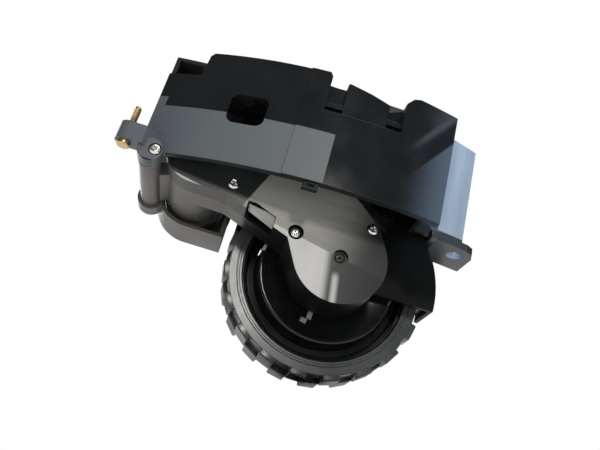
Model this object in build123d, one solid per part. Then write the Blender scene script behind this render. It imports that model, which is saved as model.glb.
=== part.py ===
from build123d import *
import math
import os

os.makedirs("parts", exist_ok=True)

# Robot vacuum wheel module: a sprung gearbox arm with a driven wheel, hung in a two-part housing.
# Lengths are millimetres. X runs along the robot's skirt, +Y goes into the robot, +Z is robot up.
# Places are measured from the axle at rest, in the tyre's outer face. Each finished part is then
# moved, so that the rear lug's hole, at its lower face, is the origin.

# Driving dimensions: wheel
wheel_r = 36.0
tyre_width = 17.0
tyre_height = 6.4
tread_depth = 3.0
tread_blocks = 19
tread_gap = 5.9
row_gap = 1.0
rim_wall = 1.5
disc_face_y = -2.6
rim_edge_width = 5.0
hub_r = 6.5
shaft_r = 2.5

# Driving dimensions: gearbox and motor
gearbox_front_y = -21.5
gearbox_seam_y = -13.8
gearbox_back_y = -5.5
gearbox_wall = 1.5
gearbox_front_wall = 2.2
gearbox_nose_r = 15.8
motor_x = -53.6
motor_z = 20.9
shroud_r = 11.2
shroud_wall = 1.2
shroud_end_y = 11.0
motor_end_y = 20.0
motor_shaft_r = 1.0
gear_face = 2.1
tip_share = 0.85
gear_room = 1.7
gear_pin_r = 1.0
cover_screw_places = ((-40.1, 13.5), (-16.2, 3.7), (8.5, 12.9))
cover_screw_margins = (4.3, 3.1, 2.4)
screw_head_r = 1.9
screw_thread_r = 0.85
screw_recess = 0.9
cover_recesses = ((2.2, 0.7), (2.6, 1.7), (2.2, 0.9))
screw_post_r = 2.2
front_bush_r = 3.6
front_bush_length = 1.0
axle_screw_head = 0.5
back_bush_r = 4.9
output_hub_r = 4.2
pin_seat_depth = 1.0
motor_boss_r = 3.5
cap_depth = 1.6
board_y = 22.0
board_r = 7.5
board_thickness = 0.8

# Driving dimensions: gear train, from the motor's pinion to the output gear
stage_modules = (0.5, 0.6, 0.6, 0.7, 0.8)
small_teeth = (12, 12, 12, 12, 12)
large_teeth = (30, 28, 28, 26, 30)
gear_4_angle = 118.0
gear_3_angle = 165.0
gear_2_angle = 160.0

# Driving dimensions: suspension
pivot_x = -68.5
pivot_z = 13.5
pivot_pin_r = 2.0
barrel_r = 3.75
barrel_front_y = -22.3
barrel_back_y = 7.6
hinge_web_end_y = 6.5
swing_deg = 27.0
guard_clearance = 0.9
guard_wall = 1.4
guard_low_z = -3.0
guard_end_deg = 52.0
guard_back_y = 9.0
horn_length = 13.9
horn_wall = 1.5
horn_tip_r = 2.0
hook_pin_r = 1.2
finger_r = 1.0
finger_height = 4.4
switch_left_x = -50.1
switch_hinge_drop = 3.6
leaf_length = 9.0
leaf_thickness = 0.4

# Driving dimensions: housing
skirt_r = 170.0
skirt_front_y = -37.7
skirt_centre_x = -1.0
skirt_wall = 2.0
skirt_low_z = 14.5
skirt_left_x = -73.2
skirt_right_x = 25.9
low_wall_right_x = 35.2
low_wall_top_z = 47.0
lug_hole_x = 35.4
lug_hole_y = -26.6
lug_low_z = 10.0
lug_hole_r = 2.6
lug_thickness = 2.4
low_wall_step = 1.0
low_wall_rise = 1.4
foot_left_x = 24.5
foot_corner_r = 4.0
well_wall = 1.6
well_gap = 2.7
well_back_y = 20.2
well_low_z = 24.0
front_bay_y = -25.3
arch_front_y = -7.2
front_bay_back_gap = 0.8
bay_left_x = -72.6
bay_right_x = -44.6
bay_back_y = 23.2
bay_top_z = 50.0
front_bay_left_x = -71.6
front_bay_right_x = 24.0
front_bay_top_z = 59.0
front_bay_drop = 6.4
cover_wall = 1.4
shelf_z = 44.2
shelf_wall = 1.8
hinge_front_y = -27.4
hinge_boss_r = 4.1
pin_front_y = -24.2
hinge_ring_r = 4.9
hinge_ring_end_y = 13.6
cradle_front_y = 8.6
cradle_wall = 1.3
cradle_right_x = -39.5
spring_y = 27.6
spring_r = 2.5
spring_wire = 0.7
spring_hook_x = -6.0
spring_hook_z = 46.5
front_lug_screw_x = -77.2
front_lug_screw_y = -25.5
front_lug_low_z = 14.0
front_lug_height = 6.4
front_lug_r = 3.1
mount_screw_r = 1.15
mount_screw_shank_r = 0.85
mount_screw_thread_length = 6.4
mount_screw_tip = 1.0
pivot_screw_place = (-66.9, 13.9)
pivot_screw_length = 1.7
skirt_step_x = -26.7
panel_low_z = 41.5
skirt_grooves = ((-19.3, -13.3), (1.9, 7.3))
housing_screw_places = ((-44.0, -27.7), (-24.0, -28.4), (-4.0, -28.6), (14.0, -28.4))
end_screw_places = ((-69.9, 45.8), (-46.8, 47.8), (-41.0, 30.0))
end_post_length = 5.0
connector_x = 6.0
connector_z = 52.0
connector_width = 16.0
connector_height = 8.0
connector_depth = 8.0

# Clearances
running = 0.05
seat = 0.02
gap = 0.3

# Values worked out from the driving dimensions
skirt_centre_y = skirt_front_y + skirt_r
arm_length = math.hypot(pivot_x, pivot_z)
rest_angle = math.degrees(math.atan2(-pivot_z, -pivot_x))
raised_angle = rest_angle + swing_deg
tyre_inner_r = wheel_r - tyre_height
disc_edge_r = tyre_inner_r - rim_edge_width
guard_r = wheel_r + guard_clearance + guard_wall
well_r = wheel_r + well_gap
gear_low_y = gearbox_front_y + gearbox_front_wall
gear_high_y = gearbox_back_y - gearbox_wall
layer_pitch = (gear_high_y - gear_low_y) / len(stage_modules)
row_width = (tyre_width - row_gap) / 2
horn_z = motor_z + horn_length


# Helpers
def slab(sketch, y_from, y_to):
    """Extrude a sketch of the XZ plane along +Y."""
    return extrude(Plane.XZ.offset(-y_from) * sketch, amount=y_from - y_to)


def rod(x, z, radius, y_from, y_to):
    return slab(Pos(x, z) * Circle(radius), y_from, y_to)


def post(x, y, radius, z_from, z_to):
    return extrude(Plane.XY.offset(z_from) * Pos(x, y) * Circle(radius), amount=z_to - z_from)


def block(x_from, x_to, y_from, y_to, z_from, z_to):
    middle = Pos((x_from + x_to) / 2, (y_from + y_to) / 2, (z_from + z_to) / 2)
    return middle * Box(x_to - x_from, y_to - y_from, z_to - z_from)


def outline(points):
    return make_face(Polyline(*points, close=True))


def hull(*circles):
    """The convex outline round circles, each given as x, z, radius."""
    edges = []
    for x, z, radius in circles:
        edges += (Pos(x, z) * Circle(radius)).edges()
    return make_hull(edges)


def polar(x, z, distance, degrees):
    angle = math.radians(degrees)
    return x + distance * math.cos(angle), z + distance * math.sin(angle)


def meeting(a, radius_a, b, radius_b):
    """The upper point at the given distances from two points."""
    span = math.dist(a, b)
    along = (radius_a ** 2 - radius_b ** 2 + span ** 2) / (2 * span)
    across = math.sqrt(radius_a ** 2 - along ** 2)
    ux, uz = (b[0] - a[0]) / span, (b[1] - a[1]) / span
    return a[0] + along * ux - across * uz, a[1] + along * uz + across * ux


def save(part, node):
    moved = Pos(-lug_hole_x, -lug_hole_y, -lug_low_z) * part
    export_step(moved, f"parts/{node}.step")


# Gear train layout
def centre_distance(stage):
    return stage_modules[stage] * (small_teeth[stage] + large_teeth[stage]) / 2


motor_axis = (motor_x, motor_z)
output_axis = (0.0, 0.0)
gear_4 = polar(*output_axis, centre_distance(4), gear_4_angle)
gear_3 = polar(*gear_4, centre_distance(3), gear_3_angle)
gear_2 = polar(*gear_3, centre_distance(2), gear_2_angle)
gear_1 = meeting(motor_axis, centre_distance(0), gear_2, centre_distance(1))
gear_axes = (motor_axis, gear_1, gear_2, gear_3, gear_4, output_axis)


def layer(stage):
    """The lowest and highest y of the wheels that mesh in one stage."""
    high = gear_high_y - (layer_pitch - gear_face) / 2 - stage * layer_pitch
    return high - gear_face, high


def mesh_phases():
    """The turn of each small and large gear, in degrees, that brings the stages into mesh."""
    turn = 0.0
    phases = []
    for stage in range(len(stage_modules)):
        start, end = gear_axes[stage], gear_axes[stage + 1]
        heading = math.degrees(math.atan2(end[1] - start[1], end[0] - start[0]))
        driver_phase = small_teeth[stage] * (heading - turn)
        turn_next = heading + 180 - (180 - driver_phase) / large_teeth[stage]
        phases.append((turn, turn_next))
        turn = turn_next
    return phases


def gear_face_sketch(teeth, module, turn):
    """An involute gear outline: three points on each flank, with the tips a little short."""
    pitch_r = module * teeth / 2
    base_r = pitch_r * math.cos(math.radians(20))
    root_r = pitch_r - 1.2 * module
    tip_r = pitch_r + tip_share * module
    half_tooth = math.pi / 2 / teeth - 0.045 / pitch_r

    def half_angle(radius):
        def involute(r):
            reach = math.sqrt(max((r / base_r) ** 2 - 1, 0))
            return reach - math.atan(reach)
        return half_tooth + involute(pitch_r) - involute(radius)

    radii = (root_r, pitch_r, tip_r)
    points = []
    for tooth in range(teeth):
        middle = math.radians(turn) + 2 * math.pi * tooth / teeth
        flank = [(r, -half_angle(r)) for r in radii]
        flank += [(r, half_angle(r)) for r in reversed(radii)]
        points += [(r * math.cos(middle + a), r * math.sin(middle + a)) for r, a in flank]
    return outline(points)


def toothed(stage, which):
    """One wheel of a stage, without its bore. which is 0 for the small one, 1 for the large one."""
    teeth = large_teeth[stage] if which else small_teeth[stage]
    turn = mesh_phases()[stage][which]
    x, z = gear_axes[stage + which]
    low, high = layer(stage)
    return slab(Pos(x, z) * gear_face_sketch(teeth, stage_modules[stage], turn), low, high)


# Wheel
def tread_row(y_from, y_to, turn):
    """One row of square blocks, as wedges of a ring."""
    step = 360 / tread_blocks
    half_gap = math.degrees(tread_gap / 2 / wheel_r)
    ring = Circle(wheel_r) - Circle(wheel_r - tread_depth)
    reach = 2 * wheel_r
    for block_number in range(tread_blocks):
        middle = turn + block_number * step
        left = polar(0, 0, reach, middle - half_gap)
        right = polar(0, 0, reach, middle + half_gap)
        ring -= outline([(0, 0), left, right])
    return slab(ring, y_from, y_to)


def tyre():
    carcass = slab(Circle(wheel_r - tread_depth) - Circle(tyre_inner_r), 0, tyre_width)
    step = 360 / tread_blocks
    outer_row = tread_row(0, row_width, -25.9)
    inner_row = tread_row(row_width + row_gap, tyre_width, -25.9 + step / 2)
    ridge_r = tyre_inner_r + 1.6
    groove = rod(0, 0, ridge_r + 0.5, -1, 0.35) - rod(0, 0, ridge_r, -1, 0.35)
    return carcass + outer_row + inner_row - groove


def wheel_rim():
    """A deep rim: hub tube, nearly flat disc, groove and barrel, turned about the axle."""
    barrel_outer_r = tyre_inner_r - seat
    inner_r = barrel_outer_r - rim_wall
    groove_y = 4.0
    points = [
        (shaft_r + seat, disc_face_y - 0.6),
        (hub_r, disc_face_y - 0.6),
        (hub_r + 1.2, disc_face_y),
        (disc_edge_r - 1.0, disc_face_y),
        (disc_edge_r, disc_face_y + 1.0),
        (disc_edge_r + 0.4, groove_y),
        (inner_r - 1.0, groove_y),
        (inner_r - 0.4, -0.4),
        (barrel_outer_r, -0.4),
        (barrel_outer_r, tyre_width),
        (inner_r, tyre_width),
        (inner_r, groove_y + rim_wall),
        (disc_edge_r - 1.2, groove_y + rim_wall),
        (disc_edge_r - 1.6, disc_face_y + 1.8),
        (hub_r, disc_face_y + 1.8),
        (hub_r, tyre_width - 1.0),
        (shaft_r + seat, tyre_width - 1.0),
    ]
    profile = make_face(Polyline(*[(r, y, 0) for r, y in points], close=True))
    rim = revolve(profile, Axis.Y)
    for spoke in range(3):
        rib = block(hub_r - 0.5, disc_edge_r - 1.0, disc_face_y + 1.5, 8.0, -0.7, 0.7)
        rim += Rot(0, spoke * 120 + 30, 0) * rib
    for window in range(3):
        hole = block(disc_edge_r - 0.9, disc_edge_r + 0.9, -6, 12, -1.4, 1.4)
        rim -= Rot(0, window * 120 + 188, 0) * Pos(-0.2, 0, 0) * hole
    return rim


def output_gear():
    low, high = layer(4)
    gear = toothed(4, 1) + rod(0, 0, output_hub_r, low, gearbox_back_y + 1.0)
    return gear - rod(0, 0, shaft_r + seat, low - 1, gearbox_back_y + 2)


def output_shaft():
    """The steel axle: drilled at the front for its screw, grooved at the back for its clip."""
    front = gear_low_y - front_bush_length + 0.1
    shaft = rod(0, 0, shaft_r, front, tyre_width + 1.5)
    groove = rod(0, 0, shaft_r + 1, tyre_width - 0.9, tyre_width - 0.2)
    groove -= rod(0, 0, shaft_r - 0.5, tyre_width - 0.9, tyre_width - 0.2)
    return shaft - groove - rod(0, 0, 0.75 + seat, front, front + 5.0)


def shaft_clip():
    """The open clip that keeps the wheel on its axle."""
    ring = Circle(shaft_r + 1.8) - Circle(shaft_r - 0.5 + seat)
    ring -= Pos(0, -shaft_r) * Rectangle(2 * shaft_r - 1.4, 2 * shaft_r)
    return slab(ring, tyre_width - 0.85, tyre_width - 0.25)


def pan_screw(head_r, head_height, thread_r, length):
    """A screw along +Z: its head is above z = 0 and its thread below."""
    return post(0, 0, head_r, 0, head_height) + post(0, 0, thread_r, -length, 0)


def front_screw(x, z, y_seat, head_r, thread_r, length):
    """A pan screw that enters along +Y, with its head's seat at y_seat."""
    return Pos(x, y_seat, z) * Rot(90, 0, 0) * pan_screw(head_r, 1.3, thread_r, length)


def axle_screw():
    front = gear_low_y - front_bush_length + 0.1
    return Pos(0, front, 0) * Rot(90, 0, 0) * pan_screw(1.8, axle_screw_head, 0.75, 4.8)


# Gears and rotor
def compound_gear(number):
    """A large wheel and a small one on one hub, running on a fixed pin."""
    x, z = gear_axes[number]
    large_low, large_high = layer(number - 1)
    small_low, small_high = layer(number)
    gear = toothed(number - 1, 1)
    small_turn = mesh_phases()[number][0]
    small = gear_face_sketch(small_teeth[number], stage_modules[number], small_turn)
    gear += slab(Pos(x, z) * small, small_low, large_low)
    gear += rod(x, z, 1.8, gear_low_y + 0.1, gear_high_y - 0.1)
    return gear - rod(x, z, gear_pin_r + running, gear_low_y - 1, gear_high_y + 1)


def motor_pinion():
    x, z = motor_axis
    low, high = layer(0)
    return toothed(0, 0) - rod(x, z, motor_shaft_r + seat, low - 1, high + 1)


def motor_shaft():
    return rod(motor_x, motor_z, motor_shaft_r, layer(0)[0] - 0.2, motor_end_y + 1.9)


def encoder_magnet():
    disc = rod(motor_x, motor_z, 3.2, motor_end_y + 0.7, motor_end_y + 1.7)
    return disc - rod(motor_x, motor_z, motor_shaft_r + seat, motor_end_y, motor_end_y + 2)


# Gearbox arm
def gearbox_outline(inset):
    """The gearbox seen from the front, drawn in by inset all round."""
    rounds = [(motor_x, motor_z, shroud_r - inset)]
    for number in range(1, 5):
        tip_r = stage_modules[number - 1] * (large_teeth[number - 1] / 2 + tip_share)
        rounds.append((*gear_axes[number], tip_r + gear_room - inset))
    nose = (0.0, 0.0, gearbox_nose_r - inset)
    screws = []
    for place, margin in zip(cover_screw_places, cover_screw_margins):
        screws.append((*place, margin - inset))
    face = hull(rounds[0], rounds[1], screws[0])
    face += hull(rounds[1], rounds[2], screws[0], screws[1])
    face += hull(rounds[2], rounds[3], rounds[4], screws[1])
    face += hull(rounds[4], nose, screws[1], screws[2])
    return face


def group(solids):
    """One solid or compound of several that may or may not touch."""
    whole = solids[0]
    for solid in solids[1:]:
        whole += solid
    return whole


def screw_posts(y_from, y_to):
    return group([rod(x, z, screw_post_r, y_from, y_to) for x, z in cover_screw_places])


def raised(part, degrees=swing_deg):
    """Turn a part about the hinge, as the arm turns when the wheel goes up."""
    hinge = Axis((pivot_x, 0, pivot_z), (0, 1, 0))
    return part.rotate(hinge, -degrees)


def skirt_room():
    """What the raised arm must stay out of, turned back to the arm's rest."""
    reach = curved_wall(-95, -40, skirt_r + 12, skirt_r - skirt_wall - 2 * gap, -40, 80)
    return raised(reach, -swing_deg)


def gearbox_cover():
    cavity = slab(gearbox_outline(gearbox_wall), gear_low_y, gearbox_seam_y)
    cover = slab(gearbox_outline(0), gearbox_front_y, gearbox_seam_y) - cavity
    cover += screw_posts(gear_low_y, gearbox_seam_y) & cavity
    cover -= skirt_room()
    for x, z in gear_axes[1:5]:
        cover -= rod(x, z, gear_pin_r + seat, gear_low_y - pin_seat_depth, gear_low_y)
    for (x, z), (recess_r, depth) in zip(cover_screw_places, cover_recesses):
        cover -= rod(x, z, recess_r, gearbox_front_y, gearbox_front_y + depth)
        cover -= rod(x, z, screw_thread_r + 0.2, gearbox_front_y, gearbox_seam_y)
    cover -= rod(0, 0, shaft_r, gearbox_front_y, gear_low_y)
    cover -= rod(0, 0, front_bush_r + seat, gear_low_y - front_bush_length, gear_low_y)
    return cover - clip_tab(seat)


def clip_tab(clear):
    """The snap tab at the gearbox's lower edge, grown by clear."""
    face = outline([(-33.8 - clear, 9.5), (-33.8 - clear, 6.0 - clear), (-23.7 + clear, 2.6 - clear),
                    (-23.7 + clear, 6.6 + clear), (-31.0, 9.5)])
    return slab(face, gearbox_front_y - clear, gearbox_seam_y + 1.0)


def gearbox_case():
    """The inner half: tray, motor shroud, hinge barrel and wheel guard in one moulding."""
    cavity = slab(gearbox_outline(gearbox_wall), gearbox_seam_y, gear_high_y)
    case = slab(gearbox_outline(0), gearbox_seam_y, gearbox_back_y) - cavity
    case += screw_posts(gearbox_seam_y, gear_high_y) & cavity
    case += rod(motor_x, motor_z, shroud_r, gearbox_back_y, shroud_end_y)
    case += rod(0, 0, back_bush_r + 1.4, gear_high_y, gearbox_back_y + 1.0)
    case += guard()
    case += rod(pivot_x, pivot_z, barrel_r, barrel_front_y, barrel_back_y)
    case += hinge_web()
    case -= skirt_room()
    case -= rod(motor_x, motor_z, shroud_r - shroud_wall, gearbox_back_y, shroud_end_y)
    case -= rod(motor_x, motor_z, motor_boss_r + seat, gear_high_y, gearbox_back_y)
    case -= rod(0, 0, back_bush_r + seat, gear_high_y - 1, gearbox_back_y + 2)
    case -= rod(pivot_x, pivot_z, pivot_pin_r + running, barrel_front_y, barrel_back_y)
    for x, z in gear_axes[1:5]:
        case -= rod(x, z, gear_pin_r + seat, gear_high_y, gear_high_y + 1.0)
    for x, z in cover_screw_places:
        case -= rod(x, z, screw_thread_r + seat, gearbox_seam_y, gear_high_y)
    for x, z in motor_screw_places():
        case -= rod(x, z, screw_thread_r + seat, gear_high_y, gearbox_back_y)
    return case


def hinge_web():
    """The web that ties the hinge barrel to the tray and to the motor shroud."""
    face = outline([(pivot_x, pivot_z - 2.4), (motor_x - 7.0, motor_z - 7.0),
                    (motor_x - 7.0, motor_z - 2.0), (pivot_x, pivot_z + 2.4)])
    web = slab(face, gearbox_seam_y + gap, hinge_web_end_y)
    web -= slab(gearbox_outline(gearbox_wall), gearbox_seam_y, gear_high_y)
    return web - rod(motor_x, motor_z, shroud_r - shroud_wall, gearbox_back_y, shroud_end_y)


def guard():
    """The plate and rim that keep hair and carpet off the tyre's leading corner."""
    corner = (2 * guard_r, guard_low_z)
    sector = outline([(0, guard_low_z), corner, polar(0, 0, 2 * guard_r, guard_end_deg), (0, 0)])
    ring = (Circle(guard_r) - Circle(guard_r - guard_wall)) & sector
    plate = slab(Circle(guard_r) & sector, gearbox_back_y - 1.1, gearbox_back_y + 0.4)
    rim = slab(ring, gearbox_back_y - 1.1, guard_back_y)
    return plate + rim - rod(0, 0, gearbox_nose_r - gearbox_wall, gearbox_back_y - 2, gear_high_y)


def front_bush():
    low = gear_low_y - front_bush_length + seat
    bush = rod(0, 0, front_bush_r, low, gear_low_y)
    return bush - rod(0, 0, shaft_r + running, low, gear_low_y)


def back_bush():
    bush = rod(0, 0, back_bush_r, gear_high_y - 0.6, gearbox_back_y + 1.0)
    return bush - rod(0, 0, output_hub_r + running, gear_high_y - 0.6, gearbox_back_y + 1.0)


def gear_pins():
    low = gear_low_y - pin_seat_depth
    return group([rod(x, z, gear_pin_r, low, gear_high_y + 1.0) for x, z in gear_axes[1:5]])


def cover_screws():
    return group([front_screw(x, z, gearbox_front_y + depth, screw_head_r, screw_thread_r, 12.0)
                  for (x, z), (_, depth) in zip(cover_screw_places, cover_recesses)])


def motor_screw_places():
    return [polar(motor_x, motor_z, 6.2, angle) for angle in (130, 250)]


def motor_screws():
    seat_y = gear_high_y
    return group([front_screw(x, z, seat_y, 1.5, screw_thread_r, 4.0)
                  for x, z in motor_screw_places()])


def motor_can():
    can_r = shroud_r - shroud_wall - seat
    can = rod(motor_x, motor_z, can_r, gearbox_back_y, motor_end_y - cap_depth)
    can += rod(motor_x, motor_z, motor_boss_r, gear_high_y, gearbox_back_y)
    for x, z in motor_screw_places():
        can -= rod(x, z, screw_thread_r + seat, gearbox_back_y, gearbox_back_y + 3.0)
    return can - rod(motor_x, motor_z, motor_shaft_r + running, gear_high_y, motor_end_y)


def motor_end_cap():
    low = motor_end_y - cap_depth
    cap = rod(motor_x, motor_z, shroud_r - shroud_wall - 0.6, low, motor_end_y)
    cap += rod(motor_x, motor_z, 2.8, motor_end_y, motor_end_y + 0.6)
    for x in terminal_places():
        cap -= block(x - 1.0 - seat, x + 1.0 + seat, motor_end_y - 1, motor_end_y + 1,
                     motor_z - 0.25 - seat, motor_z + 0.25 + seat)
    return cap - rod(motor_x, motor_z, motor_shaft_r + running, low, motor_end_y + 1)


def terminal_places():
    return (motor_x - 5.6, motor_x + 5.6)


def motor_terminals():
    return group([block(x - 1.0, x + 1.0, motor_end_y - 1, board_y + board_thickness + 0.1,
                        motor_z - 0.25, motor_z + 0.25) for x in terminal_places()])


def encoder_board():
    """The small round board that the motor's terminals carry."""
    board = rod(motor_x, motor_z, board_r, board_y, board_y + board_thickness)
    for x in terminal_places():
        board -= block(x - 1.0 - seat, x + 1.0 + seat, board_y - 1, board_y + 2,
                       motor_z - 0.25 - seat, motor_z + 0.25 + seat)
    return board


def spring_horn():
    """A clamp ring on the motor's end with a lever that the spring pulls."""
    can_r = shroud_r - shroud_wall - seat
    low, high = motor_end_y - 6.0, motor_end_y - 2.0
    ring = rod(motor_x, motor_z, can_r + horn_wall, low, high)
    lever = hull((motor_x, motor_z + can_r + 0.5, horn_tip_r + 0.2), (motor_x, horn_z, horn_tip_r))
    finger_x = leaf_x() - leaf_thickness / 2 - 2 * running - finger_r
    finger = hull((motor_x + horn_tip_r - finger_r, horn_z, finger_r),
                  (finger_x, horn_z + finger_height, finger_r))
    horn = ring + slab(lever + finger, low, high)
    horn += rod(motor_x, horn_z, hook_pin_r, high, spring_y + spring_r - 0.6)
    horn += rod(motor_x, horn_z, hook_pin_r + 0.7, spring_y + 1.2, spring_y + 1.9)
    return horn - rod(motor_x, motor_z, can_r + seat, low - 1, high + 1)


# Suspension
def pivot_pin():
    return rod(pivot_x, pivot_z, pivot_pin_r, pin_front_y, hinge_ring_end_y - 0.7)


def pivot_screw():
    seat_y = hinge_front_y + screw_recess
    return front_screw(*pivot_screw_place, seat_y, screw_head_r, 0.7, pivot_screw_length)


def suspension_spring():
    """The tension spring that pulls the wheel down: close coils between two end loops."""
    start, end = (motor_x, horn_z), (spring_hook_x, spring_hook_z)
    length = math.dist(start, end)
    heading = math.degrees(math.atan2(end[1] - start[1], end[0] - start[0]))
    loop_r = hook_pin_r + gap + spring_wire
    coil = Circle(spring_r) - Circle(spring_r - spring_wire)
    body = extrude(Plane.YZ.offset(loop_r + 1.2) * coil, amount=length - 2 * (loop_r + 1.2))
    loops = None
    for x in (0.0, length):
        loop = rod(x, 0, loop_r, -spring_wire / 2, spring_wire / 2)
        loop -= rod(x, 0, loop_r - spring_wire, -1, 1)
        inward = loop_r - 0.2 if x == 0 else -loop_r + 0.2
        shank = block(min(x + inward, x + 2 * inward), max(x + inward, x + 2 * inward),
                      -spring_wire / 2, spring_wire / 2, -spring_wire / 2, spring_r - 0.2)
        loops = loop + shank if loops is None else loops + loop + shank
    return Pos(start[0], spring_y, start[1]) * Rot(0, -heading, 0) * (body + loops)


def leaf_x():
    return switch_left_x - 0.7


def drop_switch():
    """The sealed microswitch that senses a dropped wheel."""
    left, right, low, high = switch_left_x, bay_right_x, 37.6, bay_top_z - seat
    body = block(left, right, 12.0, 17.8, low, high)
    for y in (12.0, 17.0):
        body += block(left - 1.4, left, y, y + 0.8, high - 5.2, high - 2.0)
    return body - rod(leaf_x(), high - switch_hinge_drop, 0.3 + running, 11, 19)


def drop_switch_lever():
    """The sprung leaf that the horn's finger holds pressed while the wheel hangs down."""
    x, high = leaf_x(), bay_top_z - seat - switch_hinge_drop
    half = leaf_thickness / 2
    leaf = block(x - half, x + half, 13.0, 16.8, high - leaf_length, high)
    return leaf + rod(x, high, 0.3, 12.0, 17.8)


# Housing
def curved_wall(x_from, x_to, outer_r, inner_r, z_from, z_to):
    """A stretch of upright wall that follows the robot's round skirt."""
    annulus = Pos(skirt_centre_x, skirt_centre_y) * (Circle(outer_r) - Circle(inner_r))
    depth = skirt_centre_y + 60
    window = Pos((x_from + x_to) / 2, skirt_centre_y - depth / 2 - 40)
    window = window * Rectangle(x_to - x_from, depth)
    return extrude(Plane.XY.offset(z_from) * (annulus & window), amount=z_to - z_from)


def skirt():
    """The outer wall with its stepped top, square window, grooves and sunk panel."""
    inner_r = skirt_r - skirt_wall
    wall = curved_wall(skirt_left_x, skirt_right_x, skirt_r, inner_r, skirt_low_z, 58.0)
    wall += curved_wall(skirt_step_x, skirt_right_x, skirt_r + 0.5, skirt_r - 0.5,
                        skirt_low_z, 58.0)
    wall -= curved_wall(-13.3, 1.9, skirt_r + 2, skirt_r - 0.6, panel_low_z, 60)
    for left, right in skirt_grooves:
        low = panel_low_z
        wall += curved_wall(left - 1.4, right + 1.4, skirt_r - 1, skirt_r - 6.0, low - 1.4, 58.0)
        wall -= curved_wall(left, right, skirt_r + 2, skirt_r - 4.6, low, 60)
    top = [(-90, 47), (-62, 47), (-61.3, 55.5), (-60.1, 56.9), (-40, 57.1), (-20.3, 57.1),
           (-19.3, 55.5), (-17.5, 55.1), (-12.4, 55.1), (-5.0, 53.5), (2.1, 51.4), (7.5, 54.1),
           (9.4, 56.5), (11.8, 57.3), (25.6, 56.0), (40, 56.0), (40, 70), (-90, 70)]
    wall -= slab(outline(top), -60, 20)
    wall -= slab(Pos(-43.1, 35.4) * RectangleRounded(12.3, 11.5, 2.9), -60, 0)
    return wall + skirt_hook()


def skirt_hook():
    """The slotted hook under the skirt's lower edge."""
    hook = curved_wall(-19.4, -14.4, skirt_r - 0.2, skirt_r - 1.8, skirt_low_z - 2.6, skirt_low_z)
    return hook - curved_wall(-18.0, -15.8, skirt_r + 1, skirt_r - 3, skirt_low_z - 1.6,
                              skirt_low_z - 0.8)


def outer_housing():
    """Skirt wall with both lugs and the front hinge boss, in one moulding."""
    housing = skirt() + low_wall() + rear_lug() + front_lug() + shelf()
    housing -= rod(pivot_x, pivot_z, barrel_r + 0.6, barrel_front_y - gap, 0)
    housing -= rod(pivot_x, pivot_z, pivot_pin_r + seat, pin_front_y, 0)
    screw_x, screw_z = pivot_screw_place
    head_seat = hinge_front_y + screw_recess
    screw_end = head_seat + pivot_screw_length + running
    housing -= rod(screw_x, screw_z, screw_head_r + 0.3, hinge_front_y - 1, head_seat)
    housing -= rod(screw_x, screw_z, 0.7 + seat, hinge_front_y, screw_end)
    return housing - post(lug_hole_x, lug_hole_y, lug_hole_r, lug_low_z - 1, lug_low_z + 5)


def low_wall():
    """The lower wall beside the skirt. It runs down to the rear lug in a round corner."""
    outer_r = skirt_r - low_wall_step
    corner_x, corner_z = foot_left_x - foot_corner_r, skirt_low_z - foot_corner_r
    top, right = low_wall_top_z, low_wall_right_x
    wall = curved_wall(corner_x, right, outer_r, outer_r - skirt_wall, lug_low_z,
                       top + low_wall_rise)
    wall -= slab(outline([(skirt_right_x, top + low_wall_rise), (right, top), (right + 9, top),
                          (right + 9, top + 9), (skirt_right_x, top + 9)]), -60, 0)
    wall -= rod(corner_x, corner_z, foot_corner_r, -60, 0)
    return wall - block(corner_x - 1, foot_left_x, -60, 0, lug_low_z - 1, corner_z)


def rear_lug():
    """The drilled foot at the skirt's rear end, with the rib that stiffens it."""
    face = outline([(foot_left_x, -36.0), (36.5, -36.0), (36.5, -32.9), (39.7, -30.7),
                    (41.0, -27.5), (41.0, -16.1), (30.8, -17.8), (foot_left_x, -30.0)])
    face &= Pos(skirt_centre_x, skirt_centre_y) * Circle(skirt_r - low_wall_step)
    lug = extrude(Plane.XY.offset(lug_low_z) * face, amount=lug_thickness)
    rib = outline([(foot_left_x, lug_low_z + 1), (29.0, lug_low_z + 1), (27.0, 20.0),
                   (foot_left_x, 26.0)])
    return lug + slab(rib, -33.5, -30.5)


def front_lug():
    """The lug for the brass screw, and the boss that holds the pivot pin's outer end."""
    back_y = barrel_front_y - gap
    x, y = front_lug_screw_x, front_lug_screw_y
    boss = rod(pivot_x, pivot_z, hinge_boss_r, hinge_front_y, back_y)
    eye = Pos(x, y) * Circle(front_lug_r)
    bar = outline([(x, y - front_lug_r), (pivot_x - 3.0, y - front_lug_r), (pivot_x + 1.6, back_y - 1.8),
                   (pivot_x + 1.6, back_y), (x, y + front_lug_r)])
    lug = extrude(Plane.XY.offset(front_lug_low_z) * (eye + bar), amount=front_lug_height)
    hole_r = mount_screw_r + 0.15 + running
    lug -= post(x, y, hole_r, front_lug_low_z, front_lug_low_z + front_lug_height)
    return boss + lug


def shelf():
    """The flange behind the skirt, with the posts for the housing screws."""
    flange = curved_wall(skirt_left_x, skirt_right_x, skirt_r - 1, skirt_r - 40,
                         shelf_z, shelf_z + shelf_wall)
    flange &= block(skirt_left_x, skirt_right_x, -40, front_bay_y - gap, 40, 50)
    for x, y in housing_screw_places:
        flange += post(x, y, 2.2, shelf_z - 3.0, shelf_z)
    for x, y in housing_screw_places:
        flange -= post(x, y, screw_thread_r + seat, shelf_z - 2.6, shelf_z + shelf_wall)
    return flange


def housing_screws():
    seat_z = shelf_z + shelf_wall + gap / 3 + well_wall
    return group([Pos(x, y, seat_z) * pan_screw(screw_head_r, 1.3, screw_thread_r, 5.6)
                  for x, y in housing_screw_places])


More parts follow.
